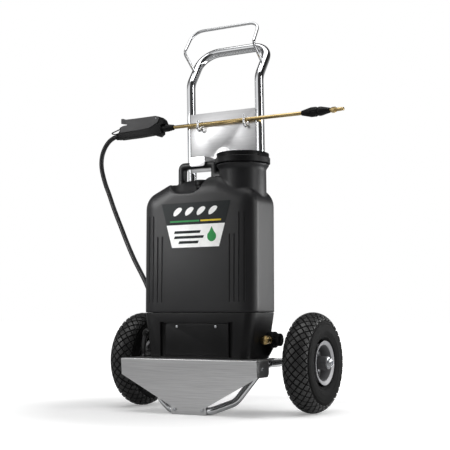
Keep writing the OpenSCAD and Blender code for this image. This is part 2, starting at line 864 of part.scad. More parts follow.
module cover_screws() {
    color(steel_c) for (s = [-1, 1]) translate([s * 59, cover_y, slot_foot_z + cover_h - 6])
        rotate([-90, 0, 0]) {
            translate([0, 0, -1.7]) cylinder(h = 1.6, r = 3.5);
            translate([0, 0, -0.5]) cylinder(h = 4, r = 2);
        }
}

// Battery, pump and motor stand side by side in the base
works_z = base_z + base_wall + seat_gap;

module battery_pack() {
    color(grey_c) translate([-120, tank_y - 35, works_z]) cube([battery_l, battery_d, battery_h]);
}

pump_x = 64;
pump_h = 46;

module pump() {
    half = pump_w / 2;
    color(black_c) translate([pump_x, tank_y + 8, works_z]) {
        translate([-half, -half, 0]) cube([pump_w, pump_w, pump_h]);
        translate([0, 0, pump_h - 1]) cylinder(h = 8, r = half - 6);
        for (s = [-1, 1]) translate([s * 14, -half, 30]) rotate([90, 0, 0]) cylinder(h = 8, r = 5);
    }
}

module motor() {
    motor_x = pump_x + pump_w / 2 + weld_gap;
    color(steel_c) translate([motor_x, tank_y + 8, works_z + 24]) {
        translate([motor_d / 2, 0, 0]) x_cylinder(motor_d, motor_d / 2);
        translate([motor_d + 3, 0, 0]) x_cylinder(6, 7);
    }
}

// Regulator housing on the right flank, with a web that runs down to the base
flank_x = base_foot_w / 2 + 2;
reg_y = tank_y + 39;
reg_nose = 22;        // reach of the housing towards the brass nipple
reg_z = base_z + 48;
reg_len = 24;

module regulator_housing() {
    color(black_c) translate([flank_x, reg_y, reg_z]) {
        rotate([0, 90, 0]) cylinder(h = reg_len, r = 21);
        rotate([90, 0, 0]) linear_extrude(height = 8, center = true)
            polygon([[0, -42], [4, -42], [reg_len - 2, -12], [reg_len - 2, 0], [0, 0]]);
        translate([0, -reg_nose, -12]) cube([reg_len - 1, reg_nose, 24]);
        translate([brass_x - flank_x, 4 - reg_nose, 0]) rotate([90, 0, 0]) cylinder(h = 4, r = 12);
    }
}

module pressure_knob() {
    knob_x = flank_x + reg_len + seat_gap;
    color(black_c) translate([knob_x + knob_len / 2, reg_y, reg_z]) difference() {
        x_cylinder(knob_len, knob_d / 2);
        for (a = [0:24:336]) rotate([a, 0, 0]) translate([3, 0, knob_d / 2 + 0.7]) x_cylinder(knob_len, 1.4);
    }
}

// Brass outlet: a nipple in the housing and a cap screwed over its end
brass_x = flank_x + 17;
nipple_y = reg_y - reg_nose - weld_gap;
nipple_len = 26;

module brass_nipple() {
    color(brass_c) translate([brass_x, nipple_y, reg_z]) rotate([90, 0, 0]) {
        cylinder(h = 12, r = cap_d / 2 - 1);
        cylinder(h = nipple_len, r = cap_d / 2 - 4);
    }
}

module brass_cap() {
    color(brass_c) translate([brass_x, nipple_y - 12 - seat_gap, reg_z]) rotate([90, 0, 0]) difference() {
        union() {
            cylinder(h = cap_len, r = cap_d / 2);
            translate([0, 0, cap_len - 0.5]) cylinder(h = 2.5, r = cap_d / 2 - 2);
        }
        translate([0, 0, -1]) cylinder(h = nipple_len - 12 + 1.5, r = cap_d / 2 - 4 + run_gap);
    }
}

// Elbow on the left flank that the hose leaves from
elbow_x = -base_foot_w / 2 - 8;
hose_exit = [-168, -134, 70];
hose_exit_dir = [-0.37, 0.33, -0.87];

module hose_elbow() {
    corner = hose_exit - unit(hose_exit_dir) * 16;
    foot = [elbow_x + 10, corner[1], corner[2] - 6];
    color(black_c) {
        bent_bar([foot, corner, hose_exit - unit(hose_exit_dir) * 0.2], [8], 7.5);
        bar(hose_exit - unit(hose_exit_dir) * 9, hose_exit - unit(hose_exit_dir) * 1.2, 8.6);
    }
}

// Route of the hose from the elbow to the grip
hose_points = [
    [-168, -134, 70], [-176, -127, 52], [-185, -116, 36], [-193, -101, 24], [-199, -83, 19],
    [-203, -64, 21], [-205, -48, 31], [-206, -37, 48], [-206, -31, 70], [-206, -28, 96],
    [-209, -26, 124], [-216, -25, 153], [-226, -25, 180], [-243, -25, 215], [-263, -24, 247],
    [-282, -24, 278], [-300, -23, 310], [-317, -22, 343], [-331, -22, 373], [-346, -22, 404],
    [-361, -22, 437], [-375, -22, 471], [-388, -22, 500], [-398, -22, 528], [-404, -22, 552],
    [-405, -22, 574], [-401, -22, 595], [-391, -22, 615], [-377, -22, 630], [-364, -22, 637.5],
    [-356, -22.5, 640], [-348.5, -22.5, 640]
];
hose_sides = 10;
hose_steps = 2;       // rings for each stretch between two points

function spline(a, b, c, d, t) =
    0.5 * (2 * b + (c - a) * t + (2 * a - 5 * b + 4 * c - d) * t * t + (3 * b - a - 3 * c + d) * t * t * t);
function point_at(list, i) = list[max(0, min(len(list) - 1, i))];
hose_line = concat(
    [for (i = [0:len(hose_points) - 2], k = [0:hose_steps - 1])
        spline(point_at(hose_points, i - 1), point_at(hose_points, i),
            point_at(hose_points, i + 1), point_at(hose_points, i + 2), k / hose_steps)],
    [hose_points[len(hose_points) - 1]]
);

// Swept round tube along a line of points, its ring carried on with no twist
module swept_tube(line, r, sides) {
    n = len(line);
    tangents = [for (i = [0:n - 1]) unit(line[min(n - 1, i + 1)] - line[max(0, i - 1)])];
    first = unit(cross(tangents[0], [1, 0, 0]));
    sides_dir = [for (i = 0, v = first; i < n; i = i + 1,
        v = i < n ? unit(v - (v * tangents[i]) * tangents[i]) : v) v];
    points = [for (i = [0:n - 1], k = [0:sides - 1])
        let (u = sides_dir[i], w = cross(tangents[i], u), a = k * 360 / sides)
        line[i] + r * (cos(a) * u + sin(a) * w)];
    faces = concat(
        [[for (k = [sides - 1:-1:0]) k]],
        [for (i = [0:n - 2], k = [0:sides - 1])
            let (a = i * sides + k, b = i * sides + (k + 1) % sides) [a, b, b + sides]],
        [for (i = [0:n - 2], k = [0:sides - 1])
            let (a = i * sides + k, b = i * sides + (k + 1) % sides) [a, b + sides, a + sides]],
        [[for (k = [0:sides - 1]) (n - 1) * sides + k]]
    );
    polyhedron(points = points, faces = [for (f = faces) reversed(f)]);
}

module hose() {
    color(black_c) swept_tube(hose_line, hose_d / 2, hose_sides);
}

// ---- Labels ----
label_t = 0.6;
label_top_z = plateau_z - label_drop;
label_split_z = label_top_z - label_dark_h;
label_low_z = label_top_z - label_h;

function label_half(z) = (label_w - (label_top_z - z) * (label_w - label_low_w) / label_h) / 2;

module label_plate(low, high) {
    translate([0, tank_front - label_t / 2, 0]) side_profile(label_t) polygon([
        [-label_half(low), low], [label_half(low), low],
        [label_half(high), high], [-label_half(high), high]
    ]);
}

module label_dark() {
    color(black_c) label_plate(label_split_z, label_top_z);
}

module label_light() {
    color([0.88, 0.88, 0.88]) label_plate(label_low_z, label_split_z - 0.1);
}

// ---- Wheels ----
rim_w = 68;
bead_r = rim_d / 2 - 8;
bearing_w = 12;
tyre_crown_r = 41.5;

module at_wheel(s) {
    translate([s * track / 2, 0, 0]) children();
}

// One block of the diamond tread, sunk into the carcass. Its row leans that far from the crown's middle
tread_lean = 15.25;
tread_gap = 2;
tread_root = 2.5;

module tread_block(turn, lean) {
    half_round = PI * (wheel_d / 2 - 12) / tread_count - tread_gap;
    half_across = PI * tyre_crown_r * tread_lean / 180 - tread_gap;
    block_top = sqrt(pow(wheel_d / 2, 2) - pow(half_round, 2));
    rotate([turn, 0, 0]) translate([0, 0, wheel_d / 2 - tyre_crown_r]) rotate([0, lean, 0])
        translate([0, 0, block_top - wheel_d / 2 + tyre_crown_r - tread_h - tread_root])
            linear_extrude(tread_h + tread_root)
                polygon([[half_across, 0], [0, half_round], [-half_across, 0], [0, -half_round]]);
}

// Tyre section: a round crown with flattened sides, an inner air space and an open bead
module tyre_carcass() {
    mid_r = wheel_d / 2 - tyre_crown_r;
    wall = 7;
    bead_half = rim_w / 2 - 4.3;
    rotate([0, 90, 0]) rotate_extrude($fn = 96) difference() {
        union() {
            intersection() {
                translate([mid_r, 0]) circle(r = tyre_crown_r - tread_h);
                translate([bead_r + 0.3, -tyre_w / 2]) square([wheel_d, tyre_w]);
            }
            translate([bead_r + 0.3, -bead_half]) square([16, 2 * bead_half]);
        }
        intersection() {
            translate([mid_r, 0]) circle(r = tyre_crown_r - wall);
            translate([bead_r + 8, -tyre_w / 2 + 5]) square([wheel_d, tyre_w - 10]);
        }
        translate([0, -rim_w / 2 + 12]) square([bead_r + 9, rim_w - 24]);
        for (y = [-1, 1]) translate([0, y * (bead_half + 20) - 20]) square([rim_d / 2 + 0.6, 40]);
    }
}

// Pneumatic tyre with five rows of diamonds, every other row half a block on
module tyre(s) {
    color(black_c) at_wheel(s) {
        tyre_carcass();
        for (row = [-2:2], i = [0:tread_count - 1])
            tread_block((i + (row % 2 == 0 ? 0.5 : 0)) * 360 / tread_count, row * tread_lean);
    }
}

// Two pressed steel rim halves: disc, barrel and outer flange
module rim(s) {
    disc_r = hub_d / 2 + weld_gap;
    color(grey_c) at_wheel(s) difference() {
        for (side = [-1, 1]) x_turned([
            [disc_r, side * 0.1], [disc_r, side * 8], [disc_r + 2, side * 8], [disc_r + 3, side * 2.1],
            [bead_r - 3, side * 2.1], [bead_r - 2, side * (rim_w / 2 - 2)],
            [rim_d / 2, side * rim_w / 2], [rim_d / 2, side * (rim_w / 2 - 2)],
            [bead_r, side * (rim_w / 2 - 4)], [bead_r - 1, side * 0.1]
        ]);
        for (i = [0:rim_bolts_n - 1]) rotate([i * 360 / rim_bolts_n + 45, 0, 0])
            translate([0, 0, (hub_d / 2 + bead_r) / 2]) x_cylinder(20, 3.2);
    }
}

// Bolts through the two discs, a head outside and a nut inside
module rim_bolts(s) {
    color(chrome_c) at_wheel(s) for (i = [0:rim_bolts_n - 1]) rotate([i * 360 / rim_bolts_n + 45, 0, 0])
        translate([0, 0, (hub_d / 2 + bead_r) / 2]) {
            x_cylinder(11, 3);
            translate([s * 4.4, 0, 0]) rotate([0, 90, 0]) cylinder(h = 4, r = 5.6, center = true, $fn = 6);
            translate([-s * 4.4, 0, 0]) rotate([0, 90, 0]) cylinder(h = 4, r = 5.6, center = true, $fn = 6);
        }
}

bearing_r = hub_d / 2 - 2.5;

module hub(s) {
    color(grey_c) at_wheel(s) difference() {
        x_cylinder(hub_len, hub_d / 2);
        x_cylinder(hub_len + 2, axle_r + 3);
        for (side = [-1, 1]) translate([side * (hub_len / 2 - bearing_w / 2 + 1), 0, 0])
            x_cylinder(bearing_w + 2, bearing_r);
    }
}

module bearings(s) {
    color(steel_c) at_wheel(s) for (side = [-1, 1])
        translate([side * (hub_len / 2 - bearing_w / 2), 0, 0]) difference() {
            x_cylinder(bearing_w - 0.2, bearing_r - 0.02);
            x_cylinder(bearing_w + 2, axle_r + run_gap);
        }
}

// ---- Lance ----
// Grip pieces are drawn with X measured from the front nut's face and Z from the lance's axis
module at_grip() {
    translate([grip_x, lance_y, lance_z]) children();
}

pivot = [-52, 28.6];
pin_r = 2;
grip_half = grip_body_w / 2;
lever_inner = grip_half + 0.7;
lever_outer = lever_inner + lever_wall;
plunger_x = -84;
plunger_r = 3;
body_deck = 10;       // top of the grip body under the lever
tail_x = -182;
tail_low = -20;
tail_half = 8.6;      // half width of the grip's tail, where the ring hangs
ring_half = 11;
ring_wire_r = 1.7;
ring_x = tail_x + 4;
ring_z = 9.2;
hose_nut_len = 14;

module grip_body() {
    color(black_c) at_grip() difference() {
        side_profile(grip_body_w) polygon([
            [tail_x, tail_low], [-115, -18.5], [-62, -15.5], [-48, -23], [-37, -15.5], [-37, body_deck],
            [-26, body_deck + 1], [-26, 13], [-31, 24], [-40, 31], [-58, 31], [-66, body_deck],
            [-166, body_deck + 2], [tail_x, body_deck + 5]
        ]);
        translate([pivot[0], 0, pivot[1]]) rotate([90, 0, 0])
            cylinder(h = 40, r = pin_r + run_gap, center = true);
        translate([plunger_x, 0, -8]) cylinder(h = 40, r = plunger_r + run_gap);
        // flow channel from the hose to the lance
        translate([-92, 0, -8]) x_cylinder(180, 4);
        translate([-16, 0, 0]) x_cylinder(44, 5.2);
        translate([ring_x, 0, ring_z]) rotate([90, 0, 0])
            cylinder(h = 40, r = ring_wire_r + run_gap, center = true);
        for (s = [-1, 1]) translate([tail_x - 1, s * (tail_half + 10) - 10, ring_z - 6]) cube([9, 20, 20]);
    }
}

// Channel-shaped trigger lever over the grip body
module trigger_lever() {
    color(grey_c) at_grip() difference() {
        side_profile(2 * lever_outer) polygon([
            [-172, 38], [-165, 38], [-164, 34.8], [-120, 34.8], [-53, 35.8], [-44, 33.5], [-41.5, 28],
            [-47, 16.5], [-75, 3.3], [-110, 0.5], [-174.5, -2.3], [-174.5, 14], [-164, 17.4], [-144, 18.5],
            [-164, 22], [-172, 24]
        ]);
        // hollow of the channel
        side_profile(2 * lever_inner) polygon([
            [-190, 32.2], [-120, 32.4], [-53, 33.4], [-30, 33.4], [-30, -10], [-190, -10]
        ]);
        translate([pivot[0], 0, pivot[1]]) rotate([90, 0, 0])
            cylinder(h = 60, r = pin_r + run_gap, center = true);
    }
}

module lever_pin() {
    color(steel_c) at_grip() translate([pivot[0], 0, pivot[1]]) rotate([90, 0, 0])
        cylinder(h = 2 * lever_outer + 0.6, r = pin_r, center = true);
}

// Push pin of the valve under the lever, with its spring
plunger_top = 31.8;

module valve_plunger() {
    color(brass_c) at_grip() translate([plunger_x, 0, 0]) {
        translate([0, 0, -4]) cylinder(h = plunger_top + 4, r = plunger_r);
        translate([0, 0, plunger_top - 3]) cylinder(h = 3, r = plunger_r + 3);
    }
}

module valve_spring() {
    spring_foot = body_deck + 0.6;
    color(steel_c) at_grip() translate([plunger_x, 0, spring_foot]) difference() {
        cylinder(h = plunger_top - 3.3 - spring_foot, r = plunger_r + 2.4);
        translate([0, 0, -1]) cylinder(h = 40, r = plunger_r + 1.2);
    }
}

// Wire ring that hangs on the grip's tail and swings up behind the lever
module lock_ring() {
    color(black_c) at_grip() bent_bar([
        [ring_x, 0.4, ring_z], [ring_x, ring_half, ring_z], [ring_x - 33, ring_half, ring_z - 10],
        [ring_x - 33, -ring_half, ring_z - 10], [ring_x, -ring_half, ring_z], [ring_x, -0.4, ring_z]
    ], [2.1, 7, 7, 2.1], ring_wire_r);
}

// Nut that holds the hose in the tail of the grip
module hose_nut() {
    color(black_c) at_grip() translate([tail_x - weld_gap - hose_nut_len / 2, 0, -11]) difference() {
        union() {
            x_cylinder(hose_nut_len, 9);
            translate([hose_nut_len / 2 - 2, 0, 0]) x_cylinder(4, 10);
        }
        for (a = [0:30:330]) rotate([a, 0, 0]) translate([-3, 0, 9.6]) x_cylinder(hose_nut_len, 1.3);
    }
}

module front_nut() {
    color(black_c) at_grip() difference() {
        x_turned([[0, -36.8], [10.5, -36.8], [10.5, -20], [7.4, 0], [0, 0]]);
        translate([-16, 0, 0]) x_cylinder(60, lance_r + 0.02);
    }
}

module outer_tube() {
    tube_start = -34;
    color(brass_c) at_grip() translate([(lance_len + tube_start) / 2, 0, 0]) difference() {
        x_cylinder(lance_len - tube_start, lance_r);
        x_cylinder(lance_len - tube_start + 2, inner_d / 2 + run_gap);
    }
}

// Pieces at the far end are drawn with X measured from the outer tube's end
module at_tip() {
    translate([grip_x + lance_len, lance_y, lance_z]) children();
}

// Collet nut that locks the telescopic tube, with finger ribs at its wide end
module lock_nut() {
    color(black_c) at_tip() difference() {
        x_turned([
            [lance_r + seat_gap, 0.5], [lance_r + 1.6, 0.5], [lock_d / 2, lock_len * 0.6],
            [lock_d / 2, lock_len * 0.9], [lock_d / 2 - 2, lock_len], [lance_r + seat_gap, lock_len]
        ]);
        for (a = [0:30:330]) rotate([a, 0, 0]) translate([lock_len * 0.82, 0, lock_d / 2 + 0.4])
            x_cylinder(lock_len * 0.5, 1.6);
    }
}

module inner_tube() {
    inner_start = -350;
    color(brass_c) at_tip() translate([(lock_len + 20 + inner_start) / 2, 0, 0]) difference() {
        x_cylinder(lock_len + 20 - inner_start, inner_d / 2);
        x_cylinder(lock_len + 22 - inner_start, inner_d / 2 - 1);
    }
}

holder_x = lock_len + 1;

module nozzle_holder() {
    color(black_c) at_tip() difference() {
        x_turned([
            [0, holder_x], [11, holder_x], [lock_d / 2 - 0.8, holder_x + 4], [lock_d / 2 - 0.8, holder_x + 9],
            [6.6, holder_x + holder_len], [0, holder_x + holder_len]
        ]);
        translate([holder_x, 0, 0]) x_cylinder(40, inner_d / 2 + 0.02);
        for (a = [0:45:315]) rotate([a, 0, 0]) translate([holder_x + 3, 0, lock_d / 2]) x_cylinder(9, 2);
    }
}

nozzle_x = holder_x + holder_len + weld_gap;

module nozzle_body() {
    color(brass_c) at_tip() translate([nozzle_x, 0, 0]) {
        x_turned([[0, 0], [5.2, 0], [5.2, 4], [7, 4], [7, 6], [0, 6]]);
        translate([10.5, 0, 0]) rotate([0, 90, 0]) cylinder(h = 9, r = 8, center = true, $fn = 6);
        x_turned([[0, 14.9], [6, 14.9], [6, 17], [3, 17], [3, 30], [0, 30]]);
    }
}

module nozzle_cap() {
    color(brass_c) at_tip() translate([nozzle_x + 17 + seat_gap, 0, 0]) difference() {
        x_turned([
            [0, 0], [4.8, 0], [4.8, 15], [3.4, 15], [3.4, 18], [4.6, 18], [4.6, 20.5], [3.6, 21.5], [0, 21.5]
        ]);
        translate([6.5, 0, 0]) x_cylinder(14.8, 3 + run_gap);
        translate([15, 0, 0]) x_cylinder(20, 0.8);
    }
}

main_tube();
top_hoop();
foot_tube();
axle();
axle_brackets();
axle_collars();
axle_washers();
axle_nuts();
platform();
apron_screws();
flange_rivets();
back_plate();
lance_clips();
tank_hook();
tank();
carry_handle();
filler_neck();
breather_cap();
strainer();
strainer_floor();
lid_seal();
lid();
motor_base();
front_cover();
cover_screws();
battery_pack();
pump();
motor();
regulator_housing();
pressure_knob();
brass_nipple();
brass_cap();
hose_elbow();
hose();
label_dark();
label_light();
tyre(-1);  // tyre_left
rim(-1);  // rim_left
rim_bolts(-1);  // rim_bolts_left
hub(-1);  // hub_left
bearings(-1);  // bearings_left
tyre(1);  // tyre_right
rim(1);  // rim_right
rim_bolts(1);  // rim_bolts_right
hub(1);  // hub_right
bearings(1);  // bearings_right
grip_body();
trigger_lever();
lever_pin();
valve_plunger();
valve_spring();
lock_ring();
hose_nut();
front_nut();
outer_tube();
lock_nut();
inner_tube();
nozzle_holder();
nozzle_body();
nozzle_cap();
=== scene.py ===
# A wheeled sprayer cart: a chromed hand truck on two pneumatic wheels carries a battery sprayer with its
# tank, motor base, hose and telescopic lance. Lengths are in metres. The origin is the middle of the axle,
# X runs along the axle, -Y is the front and +Z is up.
import json
import math

import bpy
from mathutils import Matrix, Vector

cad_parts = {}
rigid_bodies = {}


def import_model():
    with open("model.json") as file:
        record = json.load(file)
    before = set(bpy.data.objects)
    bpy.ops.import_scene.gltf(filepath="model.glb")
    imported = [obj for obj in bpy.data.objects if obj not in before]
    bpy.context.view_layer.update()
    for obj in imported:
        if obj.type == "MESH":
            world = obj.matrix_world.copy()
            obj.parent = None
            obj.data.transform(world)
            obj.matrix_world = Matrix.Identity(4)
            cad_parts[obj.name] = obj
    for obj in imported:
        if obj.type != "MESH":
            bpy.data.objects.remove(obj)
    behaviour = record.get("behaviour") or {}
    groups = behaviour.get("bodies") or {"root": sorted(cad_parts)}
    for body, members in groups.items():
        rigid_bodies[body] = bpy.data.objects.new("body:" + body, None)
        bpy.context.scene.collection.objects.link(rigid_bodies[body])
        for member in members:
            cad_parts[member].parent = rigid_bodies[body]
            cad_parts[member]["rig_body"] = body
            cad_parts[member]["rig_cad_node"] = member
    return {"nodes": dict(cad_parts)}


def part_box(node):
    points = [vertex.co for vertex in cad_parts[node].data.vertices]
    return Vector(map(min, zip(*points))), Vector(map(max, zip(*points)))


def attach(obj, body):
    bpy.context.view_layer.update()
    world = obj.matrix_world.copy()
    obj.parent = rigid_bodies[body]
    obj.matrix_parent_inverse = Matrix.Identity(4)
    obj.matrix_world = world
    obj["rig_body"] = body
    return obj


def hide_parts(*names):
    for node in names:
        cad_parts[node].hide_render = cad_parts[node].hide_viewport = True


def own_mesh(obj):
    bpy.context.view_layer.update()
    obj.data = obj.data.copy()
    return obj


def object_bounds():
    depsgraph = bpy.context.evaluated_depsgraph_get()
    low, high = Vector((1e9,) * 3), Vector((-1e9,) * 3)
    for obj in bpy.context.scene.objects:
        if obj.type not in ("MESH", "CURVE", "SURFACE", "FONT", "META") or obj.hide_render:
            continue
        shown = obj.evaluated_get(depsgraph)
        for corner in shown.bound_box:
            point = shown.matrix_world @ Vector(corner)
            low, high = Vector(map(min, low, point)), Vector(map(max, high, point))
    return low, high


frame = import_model()
cad_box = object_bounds()
nodes = frame["nodes"]
scene = bpy.context.scene
scene.view_settings.view_transform = "Standard"

# ---- Camera ----
# Low, to the right of the cart's front, with a long lens.
bpy.ops.object.camera_add(location=(1.3924, -2.4057, 0.1189),
                          rotation=(math.radians(95.14), 0, math.radians(30.03)))
camera = bpy.context.object
camera.data.lens = 81.34
camera.data.sensor_width = 36
scene.camera = camera

# ---- Hose ----
# A black rubber hose, pushed over the elbow under the base's left side. It hangs out and up to the nut
# at the grip's rear, in the one long bow that its stiffness gives it.
hose_d = 0.013
hose_route = [
    (-0.168, -0.134, 0.070), (-0.176, -0.127, 0.052), (-0.185, -0.116, 0.036), (-0.193, -0.101, 0.024),
    (-0.199, -0.083, 0.019), (-0.203, -0.064, 0.021), (-0.205, -0.048, 0.031), (-0.206, -0.037, 0.048),
    (-0.206, -0.031, 0.070), (-0.206, -0.028, 0.096), (-0.209, -0.026, 0.124), (-0.216, -0.025, 0.153),
    (-0.226, -0.025, 0.180), (-0.243, -0.025, 0.215), (-0.263, -0.024, 0.247), (-0.282, -0.024, 0.278),
    (-0.300, -0.023, 0.310), (-0.317, -0.022, 0.343), (-0.331, -0.022, 0.373), (-0.346, -0.022, 0.404),
    (-0.361, -0.022, 0.437), (-0.375, -0.022, 0.471), (-0.388, -0.022, 0.500), (-0.398, -0.022, 0.528),
    (-0.404, -0.022, 0.552), (-0.405, -0.022, 0.574), (-0.401, -0.022, 0.595), (-0.391, -0.022, 0.615),
    (-0.377, -0.022, 0.630), (-0.364, -0.022, 0.6375), (-0.356, -0.0225, 0.640),
    (-0.3485, -0.0225, 0.640),
]


def deselect():
    bpy.ops.object.select_all(action="DESELECT")


def only(piece):
    """Makes piece the one selected and active object."""
    deselect()
    piece.select_set(True)
    bpy.context.view_layer.objects.active = piece


def catmull_rom(route, per_span):
    """The smooth line through the route's points."""
    ends = [2 * Vector(route[0]) - Vector(route[1]), 2 * Vector(route[-1]) - Vector(route[-2])]
    p = [ends[0]] + [Vector(q) for q in route] + [ends[1]]
    line = []
    for i in range(1, len(p) - 2):
        for k in range(per_span):
            t = k / per_span
            line.append(0.5 * (2 * p[i] + (p[i + 1] - p[i - 1]) * t
                               + (2 * p[i - 1] - 5 * p[i] + 4 * p[i + 1] - p[i + 2]) * t * t
                               + (3 * p[i] - p[i - 1] - 3 * p[i + 1] + p[i + 2]) * t ** 3))
    return line + [p[-2]]


def round_curve(name, line, diameter, sides=6):
    """A round bar along the line, as a curve. sides is a quarter of its sides."""
    curve = bpy.data.curves.new(name, "CURVE")
    curve.dimensions = "3D"
    spline = curve.splines.new("POLY")
    spline.points.add(len(line) - 1)
    for point, place in zip(spline.points, line):
        point.co = (*place, 1)
    curve.bevel_depth = diameter / 2
    curve.bevel_resolution = curve.render_resolution_u = sides
    curve.use_fill_caps = True
    bar = bpy.data.objects.new(name, curve)
    scene.collection.objects.link(bar)
    return bar


def new_material(name, colour, roughness, metallic=0.0):
    """A material with one shader, and the places where its surface's pattern is read."""
    material = bpy.data.materials.new(name)
    material.use_nodes = True
    tree = material.node_tree
    shader = tree.nodes["Principled BSDF"]
    shader.inputs["Base Color"].default_value = (*colour, 1)
    shader.inputs["Roughness"].default_value = roughness
    shader.inputs["Metallic"].default_value = metallic
    place = tree.nodes.new("ShaderNodeTexCoord").outputs["Object"]
    return material, tree, shader, place


def add_noise(tree, place, scale, stretch=(1, 1, 1), detail=4.0):
    """Noise over the surface, drawn out along an axis where stretch is small."""
    drawn = tree.nodes.new("ShaderNodeMapping")
    drawn.inputs["Scale"].default_value = stretch
    noise = tree.nodes.new("ShaderNodeTexNoise")
    noise.inputs["Scale"].default_value = scale
    noise.inputs["Detail"].default_value = detail
    tree.links.new(place, drawn.inputs["Vector"])
    tree.links.new(drawn.outputs["Vector"], noise.inputs["Vector"])
    return noise.outputs["Fac"]


def add_tones(tree, factor, shader, dark, light, low=0.35, high=0.65):
    """Colours the surface from dark to light as the factor goes from low to high."""
    ramp = tree.nodes.new("ShaderNodeValToRGB")
    first, last = ramp.color_ramp.elements
    first.position, last.position = low, high
    first.color, last.color = (*dark, 1), (*light, 1)
    tree.links.new(factor, ramp.inputs["Fac"])
    tree.links.new(ramp.outputs["Color"], shader.inputs["Base Color"])


def span(tree, value, low, high, first, last):
    """Goes from first to last as the value goes from low to high."""
    node = tree.nodes.new("ShaderNodeMapRange")
    for name, number in (("From Min", low), ("From Max", high), ("To Min", first), ("To Max", last)):
        node.inputs[name].default_value = number
    tree.links.new(value, node.inputs["Value"])
    return node.outputs["Result"]


def add_gloss(tree, factor, shader, low, high):
    """Varies the roughness between low and high."""
    tree.links.new(span(tree, factor, 0.0, 1.0, low, high), shader.inputs["Roughness"])


def add_bump(tree, height, shader, depth, strength=1.0):
    """Raises the surface by depth where the height is 1."""
    bump = tree.nodes.new("ShaderNodeBump")
    bump.inputs["Distance"].default_value = depth
    bump.inputs["Strength"].default_value = strength
    tree.links.new(height, bump.inputs["Height"])
    tree.links.new(bump.outputs["Normal"], shader.inputs["Normal"])


def black_rubber():
    material, tree, shader, place = new_material("black_rubber", (0.012, 0.012, 0.013), 0.42)
    grain = add_noise(tree, place, 420)
    add_tones(tree, add_noise(tree, place, 30), shader, (0.010, 0.010, 0.011), (0.017, 0.017, 0.018))
    add_gloss(tree, grain, shader, 0.36, 0.50)
    add_bump(tree, grain, shader, 0.00012, 0.5)
    return material


rubber = black_rubber()
hose_line = catmull_rom(hose_route, 6)
hose = round_curve("rubber_hose", hose_line, hose_d)
hose.data.materials.append(rubber)
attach(hose, "cart")
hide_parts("hose")

ground = cad_box[0][2]

# ---- Chromed tubes ----
# One bent tube makes both legs and the crossbar, a thin rod makes the hoop welded on top of it, and a
# second tube makes the foot under the platform. All are bent cold, welded, polished and chrome plated.
tube_r = 0.0125
leg_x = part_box("main_tube")[1].x - tube_r
leg_foot = Vector((leg_x, 0.0269, -0.012))
leg_bend = Vector((leg_x, -0.00046, 0.772))
leg_top = Vector((leg_x, 0.0678, 0.8731))
hoop_r = 0.004
hoop_start = Vector((0.1092, 0.0145, 0.8172))
hoop_elbow = Vector((0.110, -0.0353, 0.8563))
hoop_corner = Vector((0.106, 0.0097, 0.9263))
foot_r = 0.010
foot_arm = Vector((0.172, -0.0096, -0.0023))
foot_bend = Vector((0.172, -0.088, -0.0023))
foot_low = Vector((0.112, -0.138, -0.098))
foot_bar = Vector((0.060, -0.1701, -0.120))


def mirrored(points):
    """The points, and then their images on the other side, in turn."""
    return points + [Vector((-p.x, p.y, p.z)) for p in reversed(points)]


def bent_line(points, radii, per_bend=14):
    """The line through the points with a round bend at each corner."""
    line = [points[0]]
    for before, corner, after, radius in zip(points, points[1:], points[2:], radii):
        to_before = (before - corner).normalized()
        to_after = (after - corner).normalized()
        half = to_before.angle(to_after) / 2
        middle = (to_before + to_after).normalized()
        centre = corner + middle * (radius / math.sin(half))
        first = corner + to_before * (radius / math.tan(half)) - centre
        turn = math.pi - 2 * half
        swing = first.cross(-middle).normalized()
        for i in range(per_bend + 1):
            line.append(centre + Matrix.Rotation(turn * i / per_bend, 3, swing) @ first)
    return line + [points[-1]]


def settle(piece, name, material, body, slot, *replaced, smooth=35):
    """Finishes a piece: its place goes into its mesh, and it rides on its body."""
    only(piece)
    bpy.ops.object.transform_apply(location=True, rotation=True, scale=True)
    bpy.ops.object.shade_smooth_by_angle(angle=math.radians(smooth))
    piece.name = piece.data.name = name
    piece.data.materials.clear()
    piece.data.materials.append(material)
    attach(piece, body)
    if replaced:
        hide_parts(*replaced)
    return piece


def bent_tube(name, half, bends, r):
    """A tube with two like sides, from one side's points and bend radii."""
    only(round_curve(name, bent_line(mirrored(half), bends + bends[::-1]), 2 * r, sides=7))
    bpy.ops.object.convert(target="MESH")
    return bpy.context.object


def polished_chrome():
    material, tree, shader, place = new_material("polished_chrome", (0.80, 0.81, 0.83), 0.07, 1.0)
    add_gloss(tree, add_noise(tree, place, 60), shader, 0.09, 0.13)
    add_tones(tree, add_noise(tree, place, 9), shader, (0.78, 0.79, 0.81), (0.86, 0.87, 0.88))
    add_bump(tree, add_noise(tree, place, 24), shader, 0.0001, 0.05)
    return material


chrome = polished_chrome()
for node, name, half, bends, r in (
        ("main_tube", "main_tube_bent", [leg_foot, leg_bend, leg_top], [0.050, 0.055], tube_r),
        ("top_hoop", "hoop_rod", [hoop_start, hoop_elbow, hoop_corner], [0.012, 0.034], hoop_r),
        ("foot_tube", "foot_tube_bent", [foot_arm, foot_bend, foot_low, foot_bar], [0.036, 0.040, 0.030],
         foot_r)):
    settle(bent_tube(name, half, bends, r), name, chrome, "cart", "chrome_tube", node)

# ---- Platform ----
# One sheet of stainless steel, brushed along its width. Its front is folded down into an apron that
# narrows to a foot on the ground, its sides into short flanges, and its rear edge into a stiffener.
sheet_t = 0.0025
deck_low, deck_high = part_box("platform")
deck_x = deck_high.x
deck_front = deck_low.y
deck_rear = deck_high.y
deck_top = deck_high.z
flange_back = deck_front + 0.068
wide_back = deck_front + 0.098
rear_x = 0.160
flange_h = 0.043
stiffener_h = 0.020
corner_r = 0.012
fold_r = 0.0028
apron_foot_x = 0.052
apron_foot_top = ground + 0.020
apron_slope = 0.014 / (deck_top - ground)


